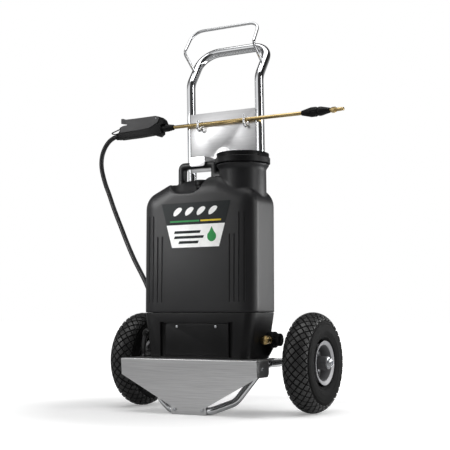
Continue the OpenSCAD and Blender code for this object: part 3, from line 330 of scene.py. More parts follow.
def select_parts(piece, kind, chosen):
    """Selects, in edit mode, the parts of that kind whose middle chosen() takes."""
    bpy.ops.object.mode_set(mode="OBJECT")
    mesh = piece.data
    for part in list(mesh.vertices) + list(mesh.edges) + list(mesh.polygons):
        part.select = False
    for part in getattr(mesh, kind):
        corners = [part.co] if kind == "vertices" else [mesh.vertices[i].co for i in part.vertices]
        part.select = chosen(sum(corners, Vector()) / len(corners))
    kinds = ("vertices", "edges", "polygons")
    bpy.context.tool_settings.mesh_select_mode = [kind == k for k in kinds]
    bpy.ops.object.mode_set(mode="EDIT")


def extrude(*move):
    bpy.ops.mesh.extrude_region_move(TRANSFORM_OT_translate={"value": move})


def modified(piece, kind, **settings):
    """Adds a modifier with those settings and applies it."""
    bpy.ops.object.mode_set(mode="OBJECT")
    only(piece)
    modifier = piece.modifiers.new(kind.lower(), kind)
    for setting, value in settings.items():
        setattr(modifier, setting, value)
    bpy.ops.object.modifier_apply(modifier=modifier.name)
    return piece


def soft_edges(piece, width, segments=2, angle=30):
    """Rounds the edges a little, as folding, moulding or tumbling leaves them."""
    return modified(piece, "BEVEL", width=width, segments=segments, limit_method="ANGLE",
                    angle_limit=math.radians(angle), harden_normals=False)


def near(a, b):
    return abs(a - b) < 1e-5


def brushed_stainless(name, stretch, dark, light):
    """Stainless sheet with its brushing drawn out along the axis where stretch is small."""
    material, tree, shader, place = new_material(name, light, 0.34, 1.0)
    lines = add_noise(tree, place, 900, stretch, detail=6)
    add_tones(tree, lines, shader, dark, light, 0.30, 0.70)
    add_gloss(tree, add_noise(tree, place, 260, stretch), shader, 0.26, 0.42)
    add_bump(tree, lines, shader, 0.00005, 0.35)
    return material


brushed = brushed_stainless("brushed_stainless", (0.015, 1, 1), (0.62, 0.62, 0.625), (0.82, 0.82, 0.825))
deselect()
bpy.ops.mesh.primitive_plane_add(size=1, location=(0, (deck_front + deck_rear) / 2, deck_top))
platform = bpy.context.object
platform.scale = (2 * rear_x, deck_rear - deck_front, 1)
bpy.ops.object.transform_apply(location=True, scale=True)
bpy.ops.object.mode_set(mode="EDIT")
for cut_y in (flange_back, wide_back):
    bpy.ops.mesh.select_all(action="SELECT")
    bpy.ops.mesh.bisect(plane_co=(0, cut_y, 0), plane_no=(0, 1, 0))
for side in (-1, 1):
    select_parts(platform, "edges", lambda c: near(c.x, side * rear_x) and c.y < wide_back)
    extrude(side * (deck_x - rear_x), 0, 0)
select_parts(platform, "vertices", lambda c: near(abs(c.x), deck_x) and near(c.y, wide_back))
bpy.ops.mesh.bevel(offset=corner_r, segments=5, affect="VERTICES")
for side in (-1, 1):
    select_parts(platform, "edges", lambda c: near(c.x, side * deck_x) and c.y < flange_back)
    extrude(0, 0, -flange_h)
    select_parts(platform, "vertices",
                 lambda c: near(c.x, side * deck_x) and near(c.y, flange_back) and c.z < deck_top - 0.01)
    bpy.ops.mesh.bevel(offset=corner_r, segments=5, affect="VERTICES")
    select_parts(platform, "vertices",
                 lambda c: near(c.x, side * deck_x) and near(c.y, deck_front) and c.z < deck_top - 0.01)
    bpy.ops.transform.translate(value=(0, apron_slope * flange_h + 0.0006, 0))
select_parts(platform, "edges", lambda c: near(c.y, deck_front) and near(c.z, deck_top))
extrude(0, apron_slope * flange_h, -flange_h)
extrude(0, apron_slope * (deck_top - flange_h - apron_foot_top), apron_foot_top - deck_top + flange_h)
bpy.ops.transform.resize(value=(apron_foot_x / deck_x, 1, 1))
extrude(0, apron_slope * (apron_foot_top - ground), ground - apron_foot_top)
select_parts(platform, "edges", lambda c: near(c.y, deck_rear) and near(c.z, deck_top))
extrude(0, 0, -stiffener_h)
select_parts(platform, "edges",
             lambda c: near(c.z, deck_top) and (near(c.y, deck_front) or near(c.y, deck_rear)
                                                or near(abs(c.x), deck_x) and c.y < flange_back))
bpy.ops.mesh.bevel(offset=fold_r, segments=4)
bpy.ops.mesh.select_all(action="SELECT")
bpy.ops.mesh.normals_make_consistent(inside=False)
modified(platform, "SOLIDIFY", thickness=sheet_t, offset=-1)
soft_edges(platform, 0.0003, 1, 60)
settle(platform, "folded_platform", brushed, "cart", "stainless_sheet", "platform")

# ---- Tank ----
# The tank is blown in one piece from dark grey plastic: a rounded body, a scoop in the front of its top,
# the carry handle, and the filler neck. Its front has four upright grooves at each side.
tank_low, tank_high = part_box("tank")
tank_y = (tank_low.y + tank_high.y) / 2
tank_r = 0.030
tank_half_y = 0.0705
plateau_x = 0.0605
shoulder_z = tank_high.z - 0.032
neck_x = sum(corner.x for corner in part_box("filler_neck")) / 2
rim_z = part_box("filler_neck")[1].z
voxel = 0.0024


def chain(name, points):
    """Draws edges through the points, and stays in edit mode with all of them selected."""
    deselect()
    bpy.ops.mesh.primitive_plane_add(size=0.01, location=(0, 0, 0))
    piece = bpy.context.object
    piece.name = name
    bpy.context.tool_settings.mesh_select_mode = (True, False, False)
    bpy.ops.object.mode_set(mode="EDIT")
    bpy.ops.mesh.merge(type="CENTER")
    bpy.ops.transform.translate(value=points[0])
    for a, b in zip(points, points[1:]):
        extrude(*(Vector(b) - Vector(a)))
    bpy.ops.mesh.select_all(action="SELECT")
    return piece


def clean_normals():
    bpy.ops.mesh.select_all(action="SELECT")
    bpy.ops.mesh.remove_doubles(threshold=1e-6)
    bpy.ops.mesh.normals_make_consistent(inside=False)
    bpy.ops.object.mode_set(mode="OBJECT")


def turned(name, outline, centre, axis, steps=64):
    """A turned piece. The outline lists places along the axis and their radii."""
    across = Vector((0, 0, 1)) if abs(axis[2]) < 0.5 else Vector((1, 0, 0))
    piece = chain(name, [Vector(centre) + Vector(axis) * a + across * r for a, r in outline])
    bpy.ops.mesh.spin(steps=steps, angle=2 * math.pi, center=centre, axis=axis)
    clean_normals()
    return piece


def cut_from_sheet(name, outline, y, depth):
    """A plate with an outline of X and Z places, as deep as depth and centred on y."""
    piece = chain(name, [(x, y - depth / 2, z) for x, z in outline])
    bpy.ops.mesh.edge_face_add()
    extrude(0, depth, 0)
    clean_normals()
    return piece


def joined(pieces):
    only(pieces[0])
    for piece in pieces:
        piece.select_set(True)
    bpy.ops.object.join()
    return bpy.context.object


def cut_with(piece, cutter, solver="EXACT"):
    """Takes the cutter's shape out of the piece."""
    modified(piece, "BOOLEAN", operation="DIFFERENCE", object=cutter, solver=solver)
    bpy.data.objects.remove(cutter)


def tank_plastic_material():
    material, tree, shader, place = new_material("tank_plastic", (0.011, 0.011, 0.012), 0.42)
    shader.inputs["Specular IOR Level"].default_value = 0.35
    grain = add_noise(tree, place, 1100, detail=3)
    clouds = add_noise(tree, place, 7, detail=2)
    add_tones(tree, clouds, shader, (0.010, 0.010, 0.011), (0.013, 0.013, 0.014))
    add_gloss(tree, grain, shader, 0.36, 0.48)
    add_bump(tree, grain, shader, 0.00012, 0.55)
    return material


tank_plastic = tank_plastic_material()
corner_x, corner_z = 0.045, 0.048
deselect()
balls = []
for side in (-1, 1):
    for face in (-1, 1):
        y = tank_y + face * (tank_half_y - tank_r)
        wide_x = side * (tank_high.x - corner_x)
        for x, z, wide in ((wide_x, shoulder_z - corner_z, corner_x),
                           (side * plateau_x, tank_high.z - corner_z, tank_r)):
            bpy.ops.mesh.primitive_uv_sphere_add(segments=48, ring_count=24, radius=1, location=(x, y, z),
                                                 scale=(wide, tank_r, corner_z))
            balls.append(bpy.context.object)
        bpy.ops.mesh.primitive_cylinder_add(vertices=48, radius=1, depth=0.02, scale=(corner_x, tank_r, 1),
                                            location=(wide_x, y, tank_low.z + 0.01))
        balls.append(bpy.context.object)
tank = joined(balls)
bpy.ops.object.transform_apply(location=True, scale=True)
bpy.ops.object.mode_set(mode="EDIT")
bpy.ops.mesh.select_all(action="SELECT")
bpy.ops.mesh.convex_hull()
clean_normals()

# The scoop
scoop_left, scoop_right, scoop_floor = -0.068, 0.002, tank_high.z - 0.042
scoop_up = 0.072
left_slope, right_slope, back_slope = 0.9, 0.6, 1.1
scoop_fillet = 0.016
scoop = cut_from_sheet("scoop", [
    (scoop_left, scoop_floor), (scoop_right, scoop_floor),
    (scoop_right + right_slope * scoop_up, scoop_floor + scoop_up),
    (scoop_left - left_slope * scoop_up, scoop_floor + scoop_up)], tank_low.y, 0.08)
select_parts(scoop, "vertices", lambda c: c.y > tank_low.y and c.z > scoop_floor + 0.01)
bpy.ops.transform.translate(value=(0, back_slope * scoop_up - scoop_fillet, 0))
select_parts(scoop, "vertices", lambda c: c.y > tank_low.y and near(c.z, scoop_floor))
bpy.ops.transform.translate(value=(0, -scoop_fillet, 0))
soft_edges(scoop, scoop_fillet, 5)
cut_with(tank, scoop)

# The breather's pocket
pocket_floor = Vector((-0.004, tank_low.y + 0.037, tank_high.z - 0.028))
pocket_r, pocket_h = 0.0195, 0.06
bpy.ops.mesh.primitive_cylinder_add(vertices=48, radius=pocket_r, depth=pocket_h,
                                    location=pocket_floor + Vector((0, 0, pocket_h / 2)))
cut_with(tank, bpy.context.object)

# The carry handle: its left post with a round corner, its bar, and the right post that runs into the neck
handle_left, handle_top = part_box("carry_handle")[0].x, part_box("carry_handle")[1].z
handle_inner = handle_left + 0.017
handle_foot = tank_high.z - 0.030
handle_r = 0.018
bar_under = tank_high.z + 0.031
post_left, post_right, post_foot = 0.011, 0.029, tank_high.z - 0.014
web_x, web_top = 0.050, rim_z - 0.036
handle_arc = []
for degree in range(0, 91, 15):
    a = math.radians(degree)
    handle_arc.append((handle_left + handle_r - handle_r * math.cos(a),
                       handle_top - handle_r + handle_r * math.sin(a)))
handle = cut_from_sheet("handle", [(handle_left, handle_foot)] + handle_arc + [
    (post_right, handle_top), (post_right, web_top), (web_x, web_top), (web_x, post_foot),
    (post_left, post_foot), (post_left, bar_under), (handle_inner, bar_under), (handle_inner, handle_foot)],
    tank_y, 0.028)
soft_edges(handle, 0.006, 4, 50)

# The filler neck with its collar, drawn in a little at its root on the left
neck_root, neck_floor = tank_high.z - 0.060, tank_high.z - 0.030
neck_r, neck_inner_r, collar_r, rim_r = 0.0625, 0.056, 0.070, 0.0635
neck = turned("neck", [
    (neck_root, 0), (neck_root, neck_r), (neck_floor, neck_r), (rim_z - 0.034, 0.062),
    (rim_z - 0.024, collar_r), (rim_z - 0.022, collar_r), (rim_z - 0.022, rim_r), (rim_z, rim_r),
    (rim_z, neck_inner_r), (neck_floor, neck_inner_r), (neck_floor, 0)], (neck_x, tank_y, 0), (0, 0, 1), 96)
select_parts(neck, "vertices", lambda c: c.x < neck_x and c.z < tank_high.z)
bpy.ops.transform.resize(value=(0.90, 1, 1), center_override=(neck_x, tank_y, 0))
bpy.ops.object.mode_set(mode="OBJECT")

# All are melted into one skin
tank = joined([tank, handle, neck])
modified(tank, "REMESH", mode="VOXEL", voxel_size=voxel, use_smooth_shade=True)
modified(tank, "SMOOTH", factor=0.5, iterations=9)

# The grooves follow the front as it rounds off at its sides
groove_foot, groove_r = tank_low.z + 0.026, 0.0022
cutters = []
for side in (-1, 1):
    for x, tall in ((0.103, 0.176), (0.117, 0.176), (0.131, 0.232), (0.145, 0.232)):
        round_off = max(x - tank_high.x + corner_x, 0) / corner_x
        face_y = tank_low.y + tank_r * (1 - math.sqrt(1 - round_off ** 2))
        outline = [(0, 0), (0.0008, 0.0015), (0.003, groove_r),
                   (tall - 0.003, groove_r), (tall - 0.0008, 0.0015), (tall, 0)]
        cutters.append(turned("groove", outline, (side * x, face_y - 0.0002, groove_foot), (0, 0, 1), 20))
cut_with(tank, joined(cutters))
settle(tank, "moulded_tank", tank_plastic, "cart", "tank_plastic", "tank", "carry_handle", "filler_neck",
       smooth=42)

# ---- Wheels ----
# Pneumatic tyres on two-part pressed rims. The tread is cut as rows of diamonds, and wrapped round the
# tyre as the mould does. Each wheel turns on two bearings in a hub tube.
wheel_x = 0.265
crown_r = 0.0415
tyre_mid_r = 0.130 - crown_r
tread_h = 0.0032
carcass_r = crown_r - tread_h


def rubber_material(name, tone, roughness, specular):
    """Carbon black rubber of that tone, with the mould's fine grain."""
    material, tree, shader, place = new_material(name, (tone, tone, 1.05 * tone), roughness)
    shader.inputs["Specular IOR Level"].default_value = specular
    grain = add_noise(tree, place, 700, detail=3)
    add_tones(tree, add_noise(tree, place, 26), shader, [0.8 * tone] * 3, [1.25 * tone] * 3)
    add_gloss(tree, grain, shader, roughness - 0.09, roughness + 0.09)
    add_bump(tree, grain, shader, 0.0002, 0.4)
    return material


def sidewall_height(angle):
    """How far a ring stands out of the carcass at that angle from the crown, in degrees."""
    rings = ((70, 3.0, 0.0010), (96, 1.6, 0.0008), (101, 1.6, 0.0008), (124, 2.4, 0.0012))
    return sum(h for at, half, h in rings if abs(angle - at) < half)


# Tread and sidewall are one rubber. The tread's copy is given a lighter tone than the sidewall's, as a
# painted highlight.
sidewall_rubber = rubber_material("sidewall_rubber", 0.008, 0.75, 0.1)
tread_rubber_painted_highlight = rubber_material("tread_rubber_painted_highlight", 0.018, 0.42, 0.6)
section = []
for degree in range(-1380, 1381, 12):
    angle = degree / 10
    rho = min(carcass_r + sidewall_height(abs(angle)),
              0.038 / max(math.sin(math.radians(abs(angle))), 0.01))
    section.append((rho * math.sin(math.radians(angle)), tyre_mid_r + rho * math.cos(math.radians(angle))))
tyre = turned("tyre", section, (0, 0, 0), (1, 0, 0), 144)

# The tread is drawn flat: a grid's crossings become the middles of diamonds, each raised as a block
blocks_round = 36
block_rows = 4
tread_r = 0.118
tread_sunk = 0.0002
block_edge = 0.0004
round_u = 2 * math.pi * tread_r
half_v = crown_r * math.radians(61)
cell_u = round_u / blocks_round
cell_v = 2 * half_v / block_rows


def whole(value):
    """Whether a value is a whole number, but for rounding."""
    return abs(value - round(value)) < 0.01


deselect()
bpy.ops.mesh.primitive_grid_add(x_subdivisions=blocks_round + 2, y_subdivisions=block_rows, size=1)
tread = bpy.context.object
tread.scale = ((blocks_round + 2) * cell_u, block_rows * cell_v, 1)
bpy.ops.object.transform_apply(scale=True)
bpy.ops.object.mode_set(mode="EDIT")
bpy.ops.mesh.select_all(action="SELECT")
bpy.ops.mesh.poke()
select_parts(tread, "edges", lambda c: whole(2 * c.x / cell_u) and whole(2 * c.y / cell_v)
             and abs(c.y) < half_v - 1e-4 and abs(c.x) < round_u / 2 + cell_u - 1e-4)
bpy.ops.mesh.dissolve_edges(use_verts=False)
select_parts(tread, "polygons", lambda c: not -round_u / 2 - 1e-4 < c.x < round_u / 2 - 1e-4)
bpy.ops.mesh.delete(type="FACE")
bpy.ops.mesh.select_all(action="SELECT")
bpy.ops.mesh.inset(thickness=0.0012, depth=0, use_individual=True)
bpy.ops.mesh.inset(thickness=0.0005, depth=tread_h - block_edge, use_individual=True)
bpy.ops.mesh.inset(thickness=0.0005, depth=block_edge, use_individual=True)
bpy.ops.mesh.select_all(action="SELECT")
bpy.ops.mesh.subdivide(number_cuts=1)
bpy.ops.object.mode_set(mode="OBJECT")
for vertex in tread.data.vertices:
    u, v, h = vertex.co
    rho = carcass_r + h - tread_sunk
    r = tyre_mid_r + rho * math.cos(v / crown_r)
    vertex.co = (rho * math.sin(v / crown_r), r * math.cos(u / tread_r), r * math.sin(u / tread_r))
bpy.ops.object.mode_set(mode="EDIT")
clean_normals()


def at_wheel(piece, side):
    """A copy of a piece that is modelled at the origin, set on that side's wheel."""
    copy = piece.copy()
    copy.data = piece.data.copy()
    scene.collection.objects.link(copy)
    copy.location = (side * wheel_x, 0, 0)
    if side < 0:
        copy.rotation_euler = (0, 0, math.pi)
    return copy


def maths(tree, operation, *inputs):
    """A Math node's result. Each input is a socket or a number."""
    node = tree.nodes.new("ShaderNodeMath")
    node.operation = operation
    for socket, value in zip(node.inputs, inputs):
        if isinstance(value, (int, float)):
            socket.default_value = value
        else:
            tree.links.new(value, socket)
    return node.outputs[0]


def distance(tree, place, axes=(1, 1, 1)):
    """How far a place is from the piece's origin, measured along those axes."""
    kept = tree.nodes.new("ShaderNodeVectorMath")
    kept.operation = "MULTIPLY"
    kept.inputs[1].default_value = axes
    tree.links.new(place, kept.inputs[0])
    length = tree.nodes.new("ShaderNodeVectorMath")
    length.operation = "LENGTH"
    tree.links.new(kept.outputs["Vector"], length.inputs[0])
    return length.outputs["Value"]


def rim_paint_material():
    """Silver paint, mottled at random, with a painted highlight on the flange and painted shade on the
    recessed disc inside it.
    """
    material, tree, shader, place = new_material("rim_paint", (0.16, 0.16, 0.165), 0.4)
    shader.inputs["Specular IOR Level"].default_value = 0.25
    # Painted light by radius: the flange is coloured lighter as a highlight and the recessed disc darker as
    # shade.
    painted_flange_light = span(tree, distance(tree, place, (0, 1, 1)), 0.044, 0.048, 0.0, 0.8)
    mottled_painted_light = maths(tree, "MULTIPLY_ADD", add_noise(tree, place, 60), 0.2, painted_flange_light)
    add_tones(tree, mottled_painted_light, shader, (0.045, 0.045, 0.047), (0.30, 0.30, 0.31), 0.0, 1.0)
    add_gloss(tree, add_noise(tree, place, 300), shader, 0.28, 0.42)
    add_bump(tree, add_noise(tree, place, 240), shader, 0.0001, 0.3)
    return material


rim_paint = rim_paint_material()
rim_half = [
    (0.0090, 0.0177), (0.0090, 0.0200), (0.0050, 0.0215), (0.0022, 0.0250), (0.0022, 0.0400),
    (0.0050, 0.0440), (0.0300, 0.0462), (0.0318, 0.0490), (0.0326, 0.0540), (0.0340, 0.0566),
    (0.0332, 0.0570), (0.0320, 0.0562), (0.0300, 0.0492), (0.0280, 0.0486)]
rim_round = rim_half + [(-x, r) for x, r in reversed(rim_half)]
rim = turned("rim", rim_round + rim_round[:1], (0, 0, 0), (1, 0, 0), 96)

# Ten thin ribs stand on the disc in five pairs
ribs = []
rib_pairs, pair_angle = 5, 0.32
for i in range(2 * rib_pairs):
    turn = 2 * math.pi * (i // 2) / rib_pairs + (-1) ** i * pair_angle / 2
    deselect()
    bpy.ops.mesh.primitive_cube_add(size=1, location=(0.0030, 0, 0.0325))
    rib = bpy.context.object
    rib.scale = (0.0028, 0.0018, 0.0180)
    bpy.ops.object.transform_apply(location=True, scale=True)
    soft_edges(rib, 0.0006, 2)
    rib.rotation_euler = (turn, 0, 0)
    bpy.ops.object.transform_apply(rotation=True)
    ribs.append(rib)
rim_ribs = joined(ribs)


def zinc_material():
    material, tree, shader, place = new_material("zinc_steel", (0.52, 0.53, 0.55), 0.3, 1.0)
    add_tones(tree, add_noise(tree, place, 140), shader, (0.44, 0.45, 0.48), (0.60, 0.61, 0.62))
    add_gloss(tree, add_noise(tree, place, 500), shader, 0.22, 0.38)
    return material


zinc = zinc_material()
for side, hand in ((-1, "left"), (1, "right")):
    wheel = "wheel_" + hand
    carcass = at_wheel(tyre, side)
    settle(carcass, "tyre_carcass_" + hand, sidewall_rubber, wheel, "tyre_rubber", "tyre_" + hand)
    settle(at_wheel(tread, side), "tyre_tread_" + hand, tread_rubber_painted_highlight, wheel, "tyre_rubber")
    settle(at_wheel(rim, side), "pressed_rim_" + hand, rim_paint, wheel, "rim_paint", "rim_" + hand)
    settle(at_wheel(rim_ribs, side), "rim_ribs_" + hand, zinc, wheel, "rim_paint")
for model in (tyre, tread, rim, rim_ribs):
    bpy.data.objects.remove(model)

# ---- Lid ----
# A screw lid moulded from black plastic in two steps. The upper, smaller step is fluted all round for
# grip. It closes on the neck's rim with a flat rubber seal.
lid_low, lid_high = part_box("lid")
lid_r = (lid_high.x - lid_low.x) / 2
lid_top_r = lid_r - 0.003
lid_step_z = lid_low.z + 0.0157
lid_roof_z = lid_high.z - 0.0045
lid_inner_r = lid_r - 0.008
flutes = 96


def black_plastic_material():
    material, tree, shader, place = new_material("black_plastic", (0.006, 0.006, 0.0065), 0.42)
    shader.inputs["Specular IOR Level"].default_value = 0.22
    grain = add_noise(tree, place, 900, detail=3)
    add_tones(tree, add_noise(tree, place, 22), shader, (0.005, 0.005, 0.0055), (0.008, 0.008, 0.0085))
    add_gloss(tree, grain, shader, 0.34, 0.50)
    add_bump(tree, grain, shader, 0.0001, 0.4)
    return material


def fluted(piece, count, axis_x, axis_y, r, low, high, depth):
    """Sinks every other face of a turned piece's side, between two heights, to leave ribs."""
    step = math.pi / count

    def sunk(c):
        index = math.floor(math.atan2(c.y - axis_y, c.x - axis_x) / step)
        return low < c.z < high and math.hypot(c.x - axis_x, c.y - axis_y) > r - 0.0005 and index % 2 == 0

    select_parts(piece, "polygons", sunk)
    bpy.ops.mesh.inset(thickness=0.0003, depth=-depth, use_individual=True)
    bpy.ops.object.mode_set(mode="OBJECT")


black_plastic = black_plastic_material()
lid = turned("lid", [
    (lid_roof_z, 0), (lid_roof_z, lid_inner_r), (lid_low.z + 0.0015, lid_inner_r),
    (lid_low.z, lid_inner_r + 0.0015), (lid_low.z, lid_r - 0.0010), (lid_low.z + 0.0010, lid_r),
    (lid_step_z - 0.0014, lid_r), (lid_step_z - 0.0004, lid_r - 0.0008), (lid_step_z, lid_top_r),
    (lid_high.z - 0.0024, lid_top_r), (lid_high.z - 0.0007, lid_top_r - 0.0008),
    (lid_high.z, lid_top_r - 0.0026), (lid_high.z, 0)], (neck_x, tank_y, 0), (0, 0, 1), 2 * flutes)
fluted(lid, flutes, neck_x, tank_y, lid_top_r, lid_step_z + 0.0002, lid_high.z - 0.0025, 0.0009)
settle(lid, "fluted_lid", black_plastic, "lid", "black_plastic", "lid")

# ---- Breather ----
# The breather cap lets air into the tank as it empties. It is a low fluted knob, moulded from black
# plastic, and is screwed down in its pocket behind the scoop.
cap_low, cap_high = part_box("breather_cap")
cap_x, cap_y = (cap_low.x + cap_high.x) / 2, (cap_low.y + cap_high.y) / 2
cap_r = 0.018
breather_cap = turned("breather", [
    (cap_low.z, 0), (cap_low.z, cap_r - 0.004), (cap_low.z + 0.007, cap_r - 0.004),
    (cap_low.z + 0.0075, cap_r - 0.0004), (cap_low.z + 0.008, cap_r), (cap_high.z - 0.003, cap_r),
    (cap_high.z - 0.001, cap_r - 0.0009), (cap_high.z, cap_r - 0.003), (cap_high.z, 0)],
    (cap_x, cap_y, 0), (0, 0, 1), 72)
fluted(breather_cap, 36, cap_x, cap_y, cap_r, cap_low.z + 0.0081, cap_high.z - 0.0031, 0.0007)
settle(breather_cap, "breather_knob", black_plastic, "cart", "black_plastic", "breather_cap")

# ---- Motor base ----
# The base is an injection moulded black box that carries the tank. Two upright slots stand beside its
# front cover, which two screws hold. Battery, pump and motor stand inside.
base_low, base_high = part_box("motor_base")
base_top_x = base_high.x
base_foot_x = 0.152
base_inner_x = 0.150
slot_x, slot_half, slot_deep = 0.104, 0.0065, 0.010
slot_foot_z = base_low.z + 0.004
slot_top_z = base_high.z - 0.024


def block(low, high):
    """A block between two corners."""
    deselect()
    bpy.ops.mesh.primitive_cube_add(size=1, location=[(a + b) / 2 for a, b in zip(low, high)])
    piece = bpy.context.object
    piece.scale = [b - a for a, b in zip(low, high)]
    bpy.ops.object.transform_apply(location=True, scale=True)
    return piece


def rounded_block(low, high, width=0.001):
    return soft_edges(block(low, high), width, 3)


base = block((-base_top_x, base_low.y, base_low.z), base_high)
select_parts(base, "vertices", lambda c: c.z < base_low.z + 0.001)
bpy.ops.transform.resize(value=(base_foot_x / base_top_x, 1 - 0.006 / (base_high.y - base_low.y), 1),
                         center_override=(0, tank_y, base_low.z))
select_parts(base, "edges", lambda c: abs(c.z - (base_low.z + base_high.z) / 2) < 0.001)
bpy.ops.mesh.bevel(offset=0.026, segments=12)
bpy.ops.object.mode_set(mode="OBJECT")
soft_edges(base, 0.0012, 3, 40)
cutters = [rounded_block((-base_inner_x, base_low.y + 0.022, base_low.z + 0.003),
                         (base_inner_x, base_high.y - 0.004, base_high.z + 0.02), 0.004)]
for side in (-1, 1):
    cutters.append(rounded_block((side * slot_x - slot_half, base_low.y - 0.01, slot_foot_z),
                                 (side * slot_x + slot_half, base_low.y + slot_deep, slot_top_z)))
cover_low, cover_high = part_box("front_cover")
cover_gap = 0.0004
cutters.append(block((cover_low.x - cover_gap, base_low.y - 0.01, cover_low.z - cover_gap),
                     (cover_high.x + cover_gap, cover_high.y + cover_gap, cover_high.z + cover_gap)))
cut_with(base, joined(cutters))
settle(base, "moulded_base", black_plastic, "cart", "black_plastic", "motor_base")

cover = rounded_block(cover_low, cover_high)
hole_x, hole_r = 0.059, 0.0022
holes = []
for side in (-1, 1):
    holes.append(turned("hole", [(0, 0), (0, hole_r), (0.02, hole_r), (0.02, 0)],
                        (side * hole_x, cover_low.y - 0.01, cover_high.z - 0.009), (0, 1, 0), 24))
cut_with(cover, joined(holes))
settle(cover, "base_front_cover", black_plastic, "cart", "black_plastic", "front_cover")


def softened(node, name, material, slot, width, segments=2):
    """A copy of a CAD node with its edges rounded."""
    deselect()
    piece = nodes[node].copy()
    piece.data = nodes[node].data.copy()
    piece.parent = None
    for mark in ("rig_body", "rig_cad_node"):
        del piece[mark]
    scene.collection.objects.link(piece)
    only(piece)
    bpy.ops.mesh.customdata_custom_splitnormals_clear()
    bpy.ops.object.mode_set(mode="EDIT")
    bpy.ops.mesh.select_all(action="SELECT")
    bpy.ops.mesh.remove_doubles(threshold=1e-6)
    bpy.ops.mesh.dissolve_limited(angle_limit=math.radians(0.5))
    clean_normals()
    if width:
        soft_edges(piece, width, segments, 40)
    settle(piece, name, material, nodes[node]["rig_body"], slot, node)


softened("cover_screws", "cover_screw_pair", zinc, "zinc_steel", 0.0003)

# ---- Labels ----
# Two thin plastic plates are stuck on the tank's front, a dark one over a light one. They are printed with
# leaves, two lines, a drop and bars.


def printed(name, colour):
    material, tree, shader, place = new_material(name, colour, 0.35)
    shader.inputs["Specular IOR Level"].default_value = 0.15
    add_tones(tree, add_noise(tree, place, 40), shader, [c * 0.93 for c in colour],
              [c * 1.05 for c in colour])
    add_gloss(tree, add_noise(tree, place, 600), shader, 0.29, 0.43)
    return material


def flat_print(name, outline, material, slot):
    """A printed shape on a label, from an outline of X and Z places. It is as thick as the ink."""
    settle(cut_from_sheet(name, outline, label_y - ink / 2, ink), name, material, "cart", slot)


dark_low, dark_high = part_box("label_dark")
light_low, light_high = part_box("label_light")
label_y = dark_low.y
ink = 0.0002
label_black = printed("label_black", (0.010, 0.013, 0.014))
label_white = printed("label_white", (0.93, 0.93, 0.92))
label_green = printed("label_green", (0.03, 0.26, 0.07))
label_yellow = printed("label_yellow", (0.72, 0.52, 0.04))
softened("label_dark", "label_dark_plate", label_black, "label_dark", 0.0002, 1)
softened("label_light", "label_light_plate", label_white, "label_light", 0.0002, 1)

# Four leaves in a row on the dark plate, over a green and a yellow line
leaf_z = dark_high.z - 0.024
for i in range(4):
    leaf_x = -0.054 + 0.036 * i
    leaf = []
    for t in range(25):
        a = math.pi * t / 12
        bulge = 0.0095 * math.sin(a) * (1.0 if math.sin(a) > 0 else 0.55)
        along = 0.0155 * math.cos(a)
        leaf.append((leaf_x + along * 0.80 - bulge * 0.60, leaf_z + along * 0.60 + bulge * 0.80))
    flat_print(f"label_leaf_{i + 1}", leaf[:-1], label_white, "label_light")
line_foot = dark_low.z + 0.007
line_top = line_foot + 0.0042
for name, x0, x1, material in (("label_line_green", -0.078, 0.012, label_green),
                               ("label_line_yellow", 0.016, 0.078, label_yellow)):
    flat_print(name, [(x0, line_foot), (x1, line_foot), (x1, line_top), (x0, line_top)], material,
               "label_dark")

# A green drop and three dark bars on the light plate
drop_x, drop_z, drop_r = 0.050, (light_low.z + light_high.z) / 2 - 0.003, 0.0135
drop = []
for t in range(28):
    a = math.radians(-235 + 290 * t / 27)
    drop.append((drop_x + drop_r * math.cos(a), drop_z + drop_r * math.sin(a)))
drop.append((drop_x, drop_z + 0.026))
flat_print("label_drop", drop, label_green, "label_dark")
bar_h, bar_step, bar_slant = 0.007, 0.0135, 0.003
for i, (x0, x1) in enumerate(((-0.066, 0.014), (-0.066, 0.024), (-0.052, 0.008))):
    bar_top = light_high.z - 0.016 - bar_step * i
    flat_print(f"label_bar_{i + 1}", [(x0, bar_top - bar_h), (x1, bar_top - bar_h),
                                      (x1 + bar_slant, bar_top), (x0 + bar_slant, bar_top)],
               label_black, "label_dark")

# ---- Back plate and hook ----
# A brushed stainless plate is screwed behind the legs, with a half-round slot. Two chromed wire clips on
# it hold the lance, and a folded hook at its foot reaches over the tank's handle.
plate_steel = brushed_stainless("plate_stainless", (0.015, 1, 1), (0.76, 0.76, 0.77), (0.88, 0.88, 0.89))
softened("back_plate", "slotted_back_plate", plate_steel, "stainless_sheet", 0.0004)
softened("tank_hook", "folded_tank_hook", plate_steel, "stainless_sheet", 0.0006, 3)
softened("lance_clips", "wire_lance_clips", chrome, "chrome_tube", 0)
softened("apron_screws", "apron_screw_pair", zinc, "zinc_steel", 0.0003)
softened("flange_rivets", "flange_rivet_pair", zinc, "zinc_steel", 0.0003)

# ---- Regulator ----
# The pump's outlet on the base's right flank: a black housing, a fluted pressure knob, and a brass cap
# screwed over a brass nipple. On the left flank an elbow leads to the hose.


def brass_material():
    material, tree, shader, place = new_material("turned_brass", (0.78, 0.56, 0.22), 0.24, 1.0)
    rings = add_noise(tree, place, 300, (1, 0.1, 1), detail=3)
    add_tones(tree, add_noise(tree, place, 30), shader, (0.56, 0.40, 0.17), (0.72, 0.55, 0.27))
    add_gloss(tree, rings, shader, 0.16, 0.34)
    add_bump(tree, rings, shader, 0.00003, 0.4)
    return material


brass = brass_material()
softened("regulator_housing", "regulator_body", black_plastic, "black_plastic", 0.0010, 3)
softened("pressure_knob", "pressure_knob_fluted", black_plastic, "black_plastic", 0.0006)
softened("brass_nipple", "brass_outlet_nipple", brass, "brass", 0.0004)
softened("brass_cap", "brass_outlet_cap", brass, "brass", 0.0005)
softened("hose_elbow", "hose_elbow_bent", black_plastic, "black_plastic", 0)

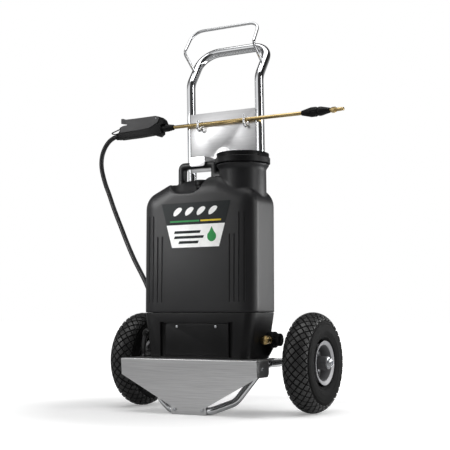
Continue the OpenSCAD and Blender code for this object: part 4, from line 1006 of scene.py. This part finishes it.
# ---- Axle and hubs ----
# A hollow axle passes through both brackets on the legs. Collars and sleeves keep the wheels apart, and a
# washer and a nut hold each of them on.
softened("axle", "axle_bar", zinc, "zinc_steel", 0.0004)
softened("axle_brackets", "axle_bracket_pair", chrome, "zinc_steel", 0.0005)
softened("axle_collars", "axle_collar_pair", chrome, "chrome_tube", 0.0004)
softened("axle_washers", "axle_washer_pair", zinc, "zinc_steel", 0.0003)
softened("axle_nuts", "axle_nut_pair", chrome, "zinc_steel", 0.0005)
for hand in ("left", "right"):
    softened("hub_" + hand, "hub_tube_" + hand, rim_paint, "rim_paint", 0.0005)
    softened("bearings_" + hand, "bearing_pair_" + hand, zinc, "zinc_steel", 0.0003)
    softened("rim_bolts_" + hand, "rim_bolt_set_" + hand, zinc, "zinc_steel", 0.0004)

# ---- Lance ----
# The lance has a black grip with a channel-shaped grey trigger lever on top, a brass tube that slides in a
# second one and is locked by a collet nut, and a nozzle under a screwed brass cap.


def grey_plastic_material():
    material, tree, shader, place = new_material("grey_plastic", (0.12, 0.12, 0.122), 0.5)
    grain = add_noise(tree, place, 800, detail=3)
    add_tones(tree, add_noise(tree, place, 18), shader, (0.11, 0.11, 0.112), (0.13, 0.13, 0.132))
    add_gloss(tree, grain, shader, 0.44, 0.58)
    add_bump(tree, grain, shader, 0.0001, 0.4)
    return material


grey_plastic = grey_plastic_material()
softened("grip_body", "grip_shell", black_plastic, "black_plastic", 0.0022, 3)
softened("trigger_lever", "trigger_channel", grey_plastic, "grey_plastic", 0.0008, 3)
softened("lever_pin", "lever_pivot_pin", zinc, "zinc_steel", 0.0004)
softened("lock_ring", "lock_wire_ring", black_plastic, "black_plastic", 0)
softened("hose_nut", "hose_nut_fluted", black_plastic, "black_plastic", 0.0005)
softened("front_nut", "front_nut_cone", black_plastic, "black_plastic", 0.0008)
softened("outer_tube", "outer_brass_tube", brass, "brass", 0.0003)
softened("inner_tube", "inner_brass_tube", brass, "brass", 0.0003)
softened("lock_nut", "collet_lock_nut", black_plastic, "black_plastic", 0.0006)
softened("nozzle_holder", "nozzle_holder_cone", black_plastic, "black_plastic", 0.0006)
softened("nozzle_body", "nozzle_brass_body", brass, "brass", 0.0004)
softened("nozzle_cap", "nozzle_brass_cap", brass, "brass", 0.0004)
softened("valve_plunger", "valve_push_pin", brass, "brass", 0.0004)

# The valve's spring is wound from steel wire, and the plunger presses it together
spring_low, spring_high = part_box("valve_spring")
spring_x, spring_y = (spring_low.x + spring_high.x) / 2, (spring_low.y + spring_high.y) / 2
wire_d = 0.001
spring_coils, per_coil = 7, 20
spring_h = spring_high.z - spring_low.z
coil_r = (spring_high.x - spring_low.x - wire_d) / 2
coil_line = []
for i in range(spring_coils * per_coil + 1):
    a = 2 * math.pi * i / per_coil
    rise = spring_low.z + wire_d / 2 + (spring_h - wire_d) * i / (spring_coils * per_coil)
    coil_line.append(Vector((spring_x + coil_r * math.cos(a), spring_y + coil_r * math.sin(a), rise)))
only(round_curve("spring_coil", coil_line, wire_d, 3))
bpy.ops.object.convert(target="MESH")
spring = settle(bpy.context.object, "valve_coil_spring", zinc, "cart", "zinc_steel", "valve_spring")
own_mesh(spring)

# ---- Inside ----
# Under the lid hangs the strainer, a moulded basket with a wire mesh floor, below a flat rubber seal. In
# the base stand the battery block, the diaphragm pump and its motor.


def battery_material():
    material, tree, shader, place = new_material("battery_case", (0.05, 0.055, 0.07), 0.45)
    add_tones(tree, add_noise(tree, place, 12), shader, (0.045, 0.05, 0.06), (0.06, 0.065, 0.08))
    add_bump(tree, add_noise(tree, place, 700), shader, 0.0001, 0.4)
    return material


softened("strainer", "strainer_basket", black_plastic, "black_plastic", 0.0003, 1)
softened("strainer_floor", "strainer_mesh_floor", zinc, "motor_steel", 0)
softened("lid_seal", "lid_flat_seal", rubber, "rubber", 0.0003)
softened("battery_pack", "battery_block", battery_material(), "battery_case", 0.003, 3)
softened("pump", "diaphragm_pump", black_plastic, "black_plastic", 0.0012, 3)
softened("motor", "pump_motor", zinc, "motor_steel", 0.0008)

# ---- Studio ----
# A white floor and a white surround with soft lamps. The floor keeps the cart's shadow.


def white_floor():
    """White all over for the camera. Metal sees it white near the cart and grey further out."""
    material, tree, shader, place = new_material("white_floor", (0.86, 0.86, 0.86), 0.9)
    shader.inputs["Specular IOR Level"].default_value = 0
    away = distance(tree, place)
    rays = tree.nodes.new("ShaderNodeLightPath")
    seen = maths(tree, "MULTIPLY", rays.outputs["Is Camera Ray"], span(tree, away, 0.45, 1.0, 0.26, 1.0))
    shader.inputs["Emission Color"].default_value = (1, 1, 1, 1)
    tree.links.new(seen, shader.inputs["Emission Strength"])
    darker = maths(tree, "MULTIPLY", rays.outputs["Is Glossy Ray"], span(tree, away, 0.4, 1.0, 0.5, 1.0))
    tones = tree.nodes.new("ShaderNodeValToRGB")
    first, last = tones.color_ramp.elements
    first.color, last.color = (0.86, 0.86, 0.86, 1), (0.42, 0.42, 0.42, 1)
    tree.links.new(darker, tones.inputs["Fac"])
    tree.links.new(tones.outputs["Color"], shader.inputs["Base Color"])
    return material


bpy.ops.mesh.primitive_plane_add(size=60, location=(0, 0, ground))
floor = bpy.context.object
floor.name = "studio_floor"
floor.data.materials.append(white_floor())

world = bpy.data.worlds.new("studio")
world.use_nodes = True
scene.world = world
tree = world.node_tree
back = tree.nodes["Background"]

# What polished metal shows: a white wall at the left of the front that reaches high up, a dark flag at the
# right that is a little lighter behind the cart, and a dark ceiling. Stops are in degrees from the front.
direction = tree.nodes.new("ShaderNodeSeparateXYZ")
tree.links.new(tree.nodes.new("ShaderNodeTexCoord").outputs["Generated"], direction.inputs[0])
east, north, up = direction.outputs["X"], direction.outputs["Y"], direction.outputs["Z"]
around = maths(tree, "ARCTAN2", east, maths(tree, "MULTIPLY", north, -1))
walls = tree.nodes.new("ShaderNodeValToRGB")
stops = ((-180, 0.6), (-70, 0.6), (-64, 0.35), (-58, 0.35), (-52, 0.9), (-8, 0.85), (-3, 0.05),
         (104, 0.05), (114, 0.1), (180, 0.1))
while len(walls.color_ramp.elements) < len(stops):
    walls.color_ramp.elements.new(0.5)
for element, (degrees, grey) in zip(walls.color_ramp.elements, stops):
    element.position = (degrees + 180) / 360
    element.color = (grey, grey, grey, 1)
tree.links.new(maths(tree, "MULTIPLY_ADD", around, 1 / (2 * math.pi), 0.5), walls.inputs["Fac"])
in_front = span(tree, up, 0.0, 0.12, 0.35, 1.0)
at_back = span(tree, up, -0.02, 0.05, 0.3, 1.0)
at_back = maths(tree, "MULTIPLY", span(tree, north, 0.0, 0.3, 0.0, 1.0), at_back)
shown = maths(tree, "MULTIPLY", walls.outputs["Color"], maths(tree, "MAXIMUM", in_front, at_back))
overhead = span(tree, up, 0.22, 0.32, 0.0, 0.85)
overhead = maths(tree, "MULTIPLY", overhead, span(tree, north, -0.3, -0.1, 0.0, 1.0))
overhead = maths(tree, "MAXIMUM", overhead, span(tree, up, 0.40, 0.65, 0.0, 0.5))
overhead = maths(tree, "MAXIMUM", overhead, span(tree, up, 0.90, 0.95, 0.0, 0.85))
shown = maths(tree, "MULTIPLY", shown, maths(tree, "SUBTRACT", 1, overhead))
at_right = span(tree, east, 0.0, 0.2, 0.0, 1.0)
lighter = maths(tree, "MULTIPLY", span(tree, north, 0.3, 0.6, 0.0, 1.8), at_right)
lighter = maths(tree, "MULTIPLY_ADD", lighter, span(tree, up, 0.0, 0.06, 0.0, 1.0), 1.0)
shown = maths(tree, "MULTIPLY", shown, lighter)

# The camera sees white, metal sees the walls, and the rest gets an even light
rays = tree.nodes.new("ShaderNodeLightPath")
fill = 0.32
straight = maths(tree, "MAXIMUM", rays.outputs["Is Camera Ray"], rays.outputs["Is Transmission Ray"])
glossy = maths(tree, "MULTIPLY", rays.outputs["Is Glossy Ray"], shown)
neither = maths(tree, "SUBTRACT", 1, maths(tree, "MAXIMUM", straight, rays.outputs["Is Glossy Ray"]))
filled = maths(tree, "MULTIPLY", neither, fill)
tree.links.new(maths(tree, "ADD", maths(tree, "MAXIMUM", straight, glossy), filled), back.inputs["Strength"])
back.inputs["Color"].default_value = (1, 1, 1, 1)


def softbox(name, place, target, size, power, spread=180):
    """A lamp of that size, turned towards the target, whose beam spreads by that many degrees."""
    aim = (Vector(target) - Vector(place)).to_track_quat("-Z", "Y").to_euler()
    bpy.ops.object.light_add(type="AREA", location=place, rotation=aim)
    lamp = bpy.context.object
    lamp.name = name
    lamp.data.shape = "RECTANGLE"
    lamp.data.size, lamp.data.size_y = size
    lamp.data.energy = power
    lamp.data.spread = math.radians(spread)
    lamp.visible_camera = False


softbox("top_lamp", (0.1, -0.3, 3.0), (0, 0, 0.3), (2.4, 2.0), 40)
softbox("strip_lamp", (3.0, -0.15, 0.9), (0, 0, 0.3), (0.3, 2.4), 25)
softbox("near_lamp", (-0.5, -0.6, 0.6), (-0.2, -0.15, 0.36), (0.4, 0.4), 0.5, spread=38)
softbox("side_lamp", (0.75, 0.45, 0.3), (0.13, -0.08, 0.2), (0.5, 0.6), 2, spread=100)
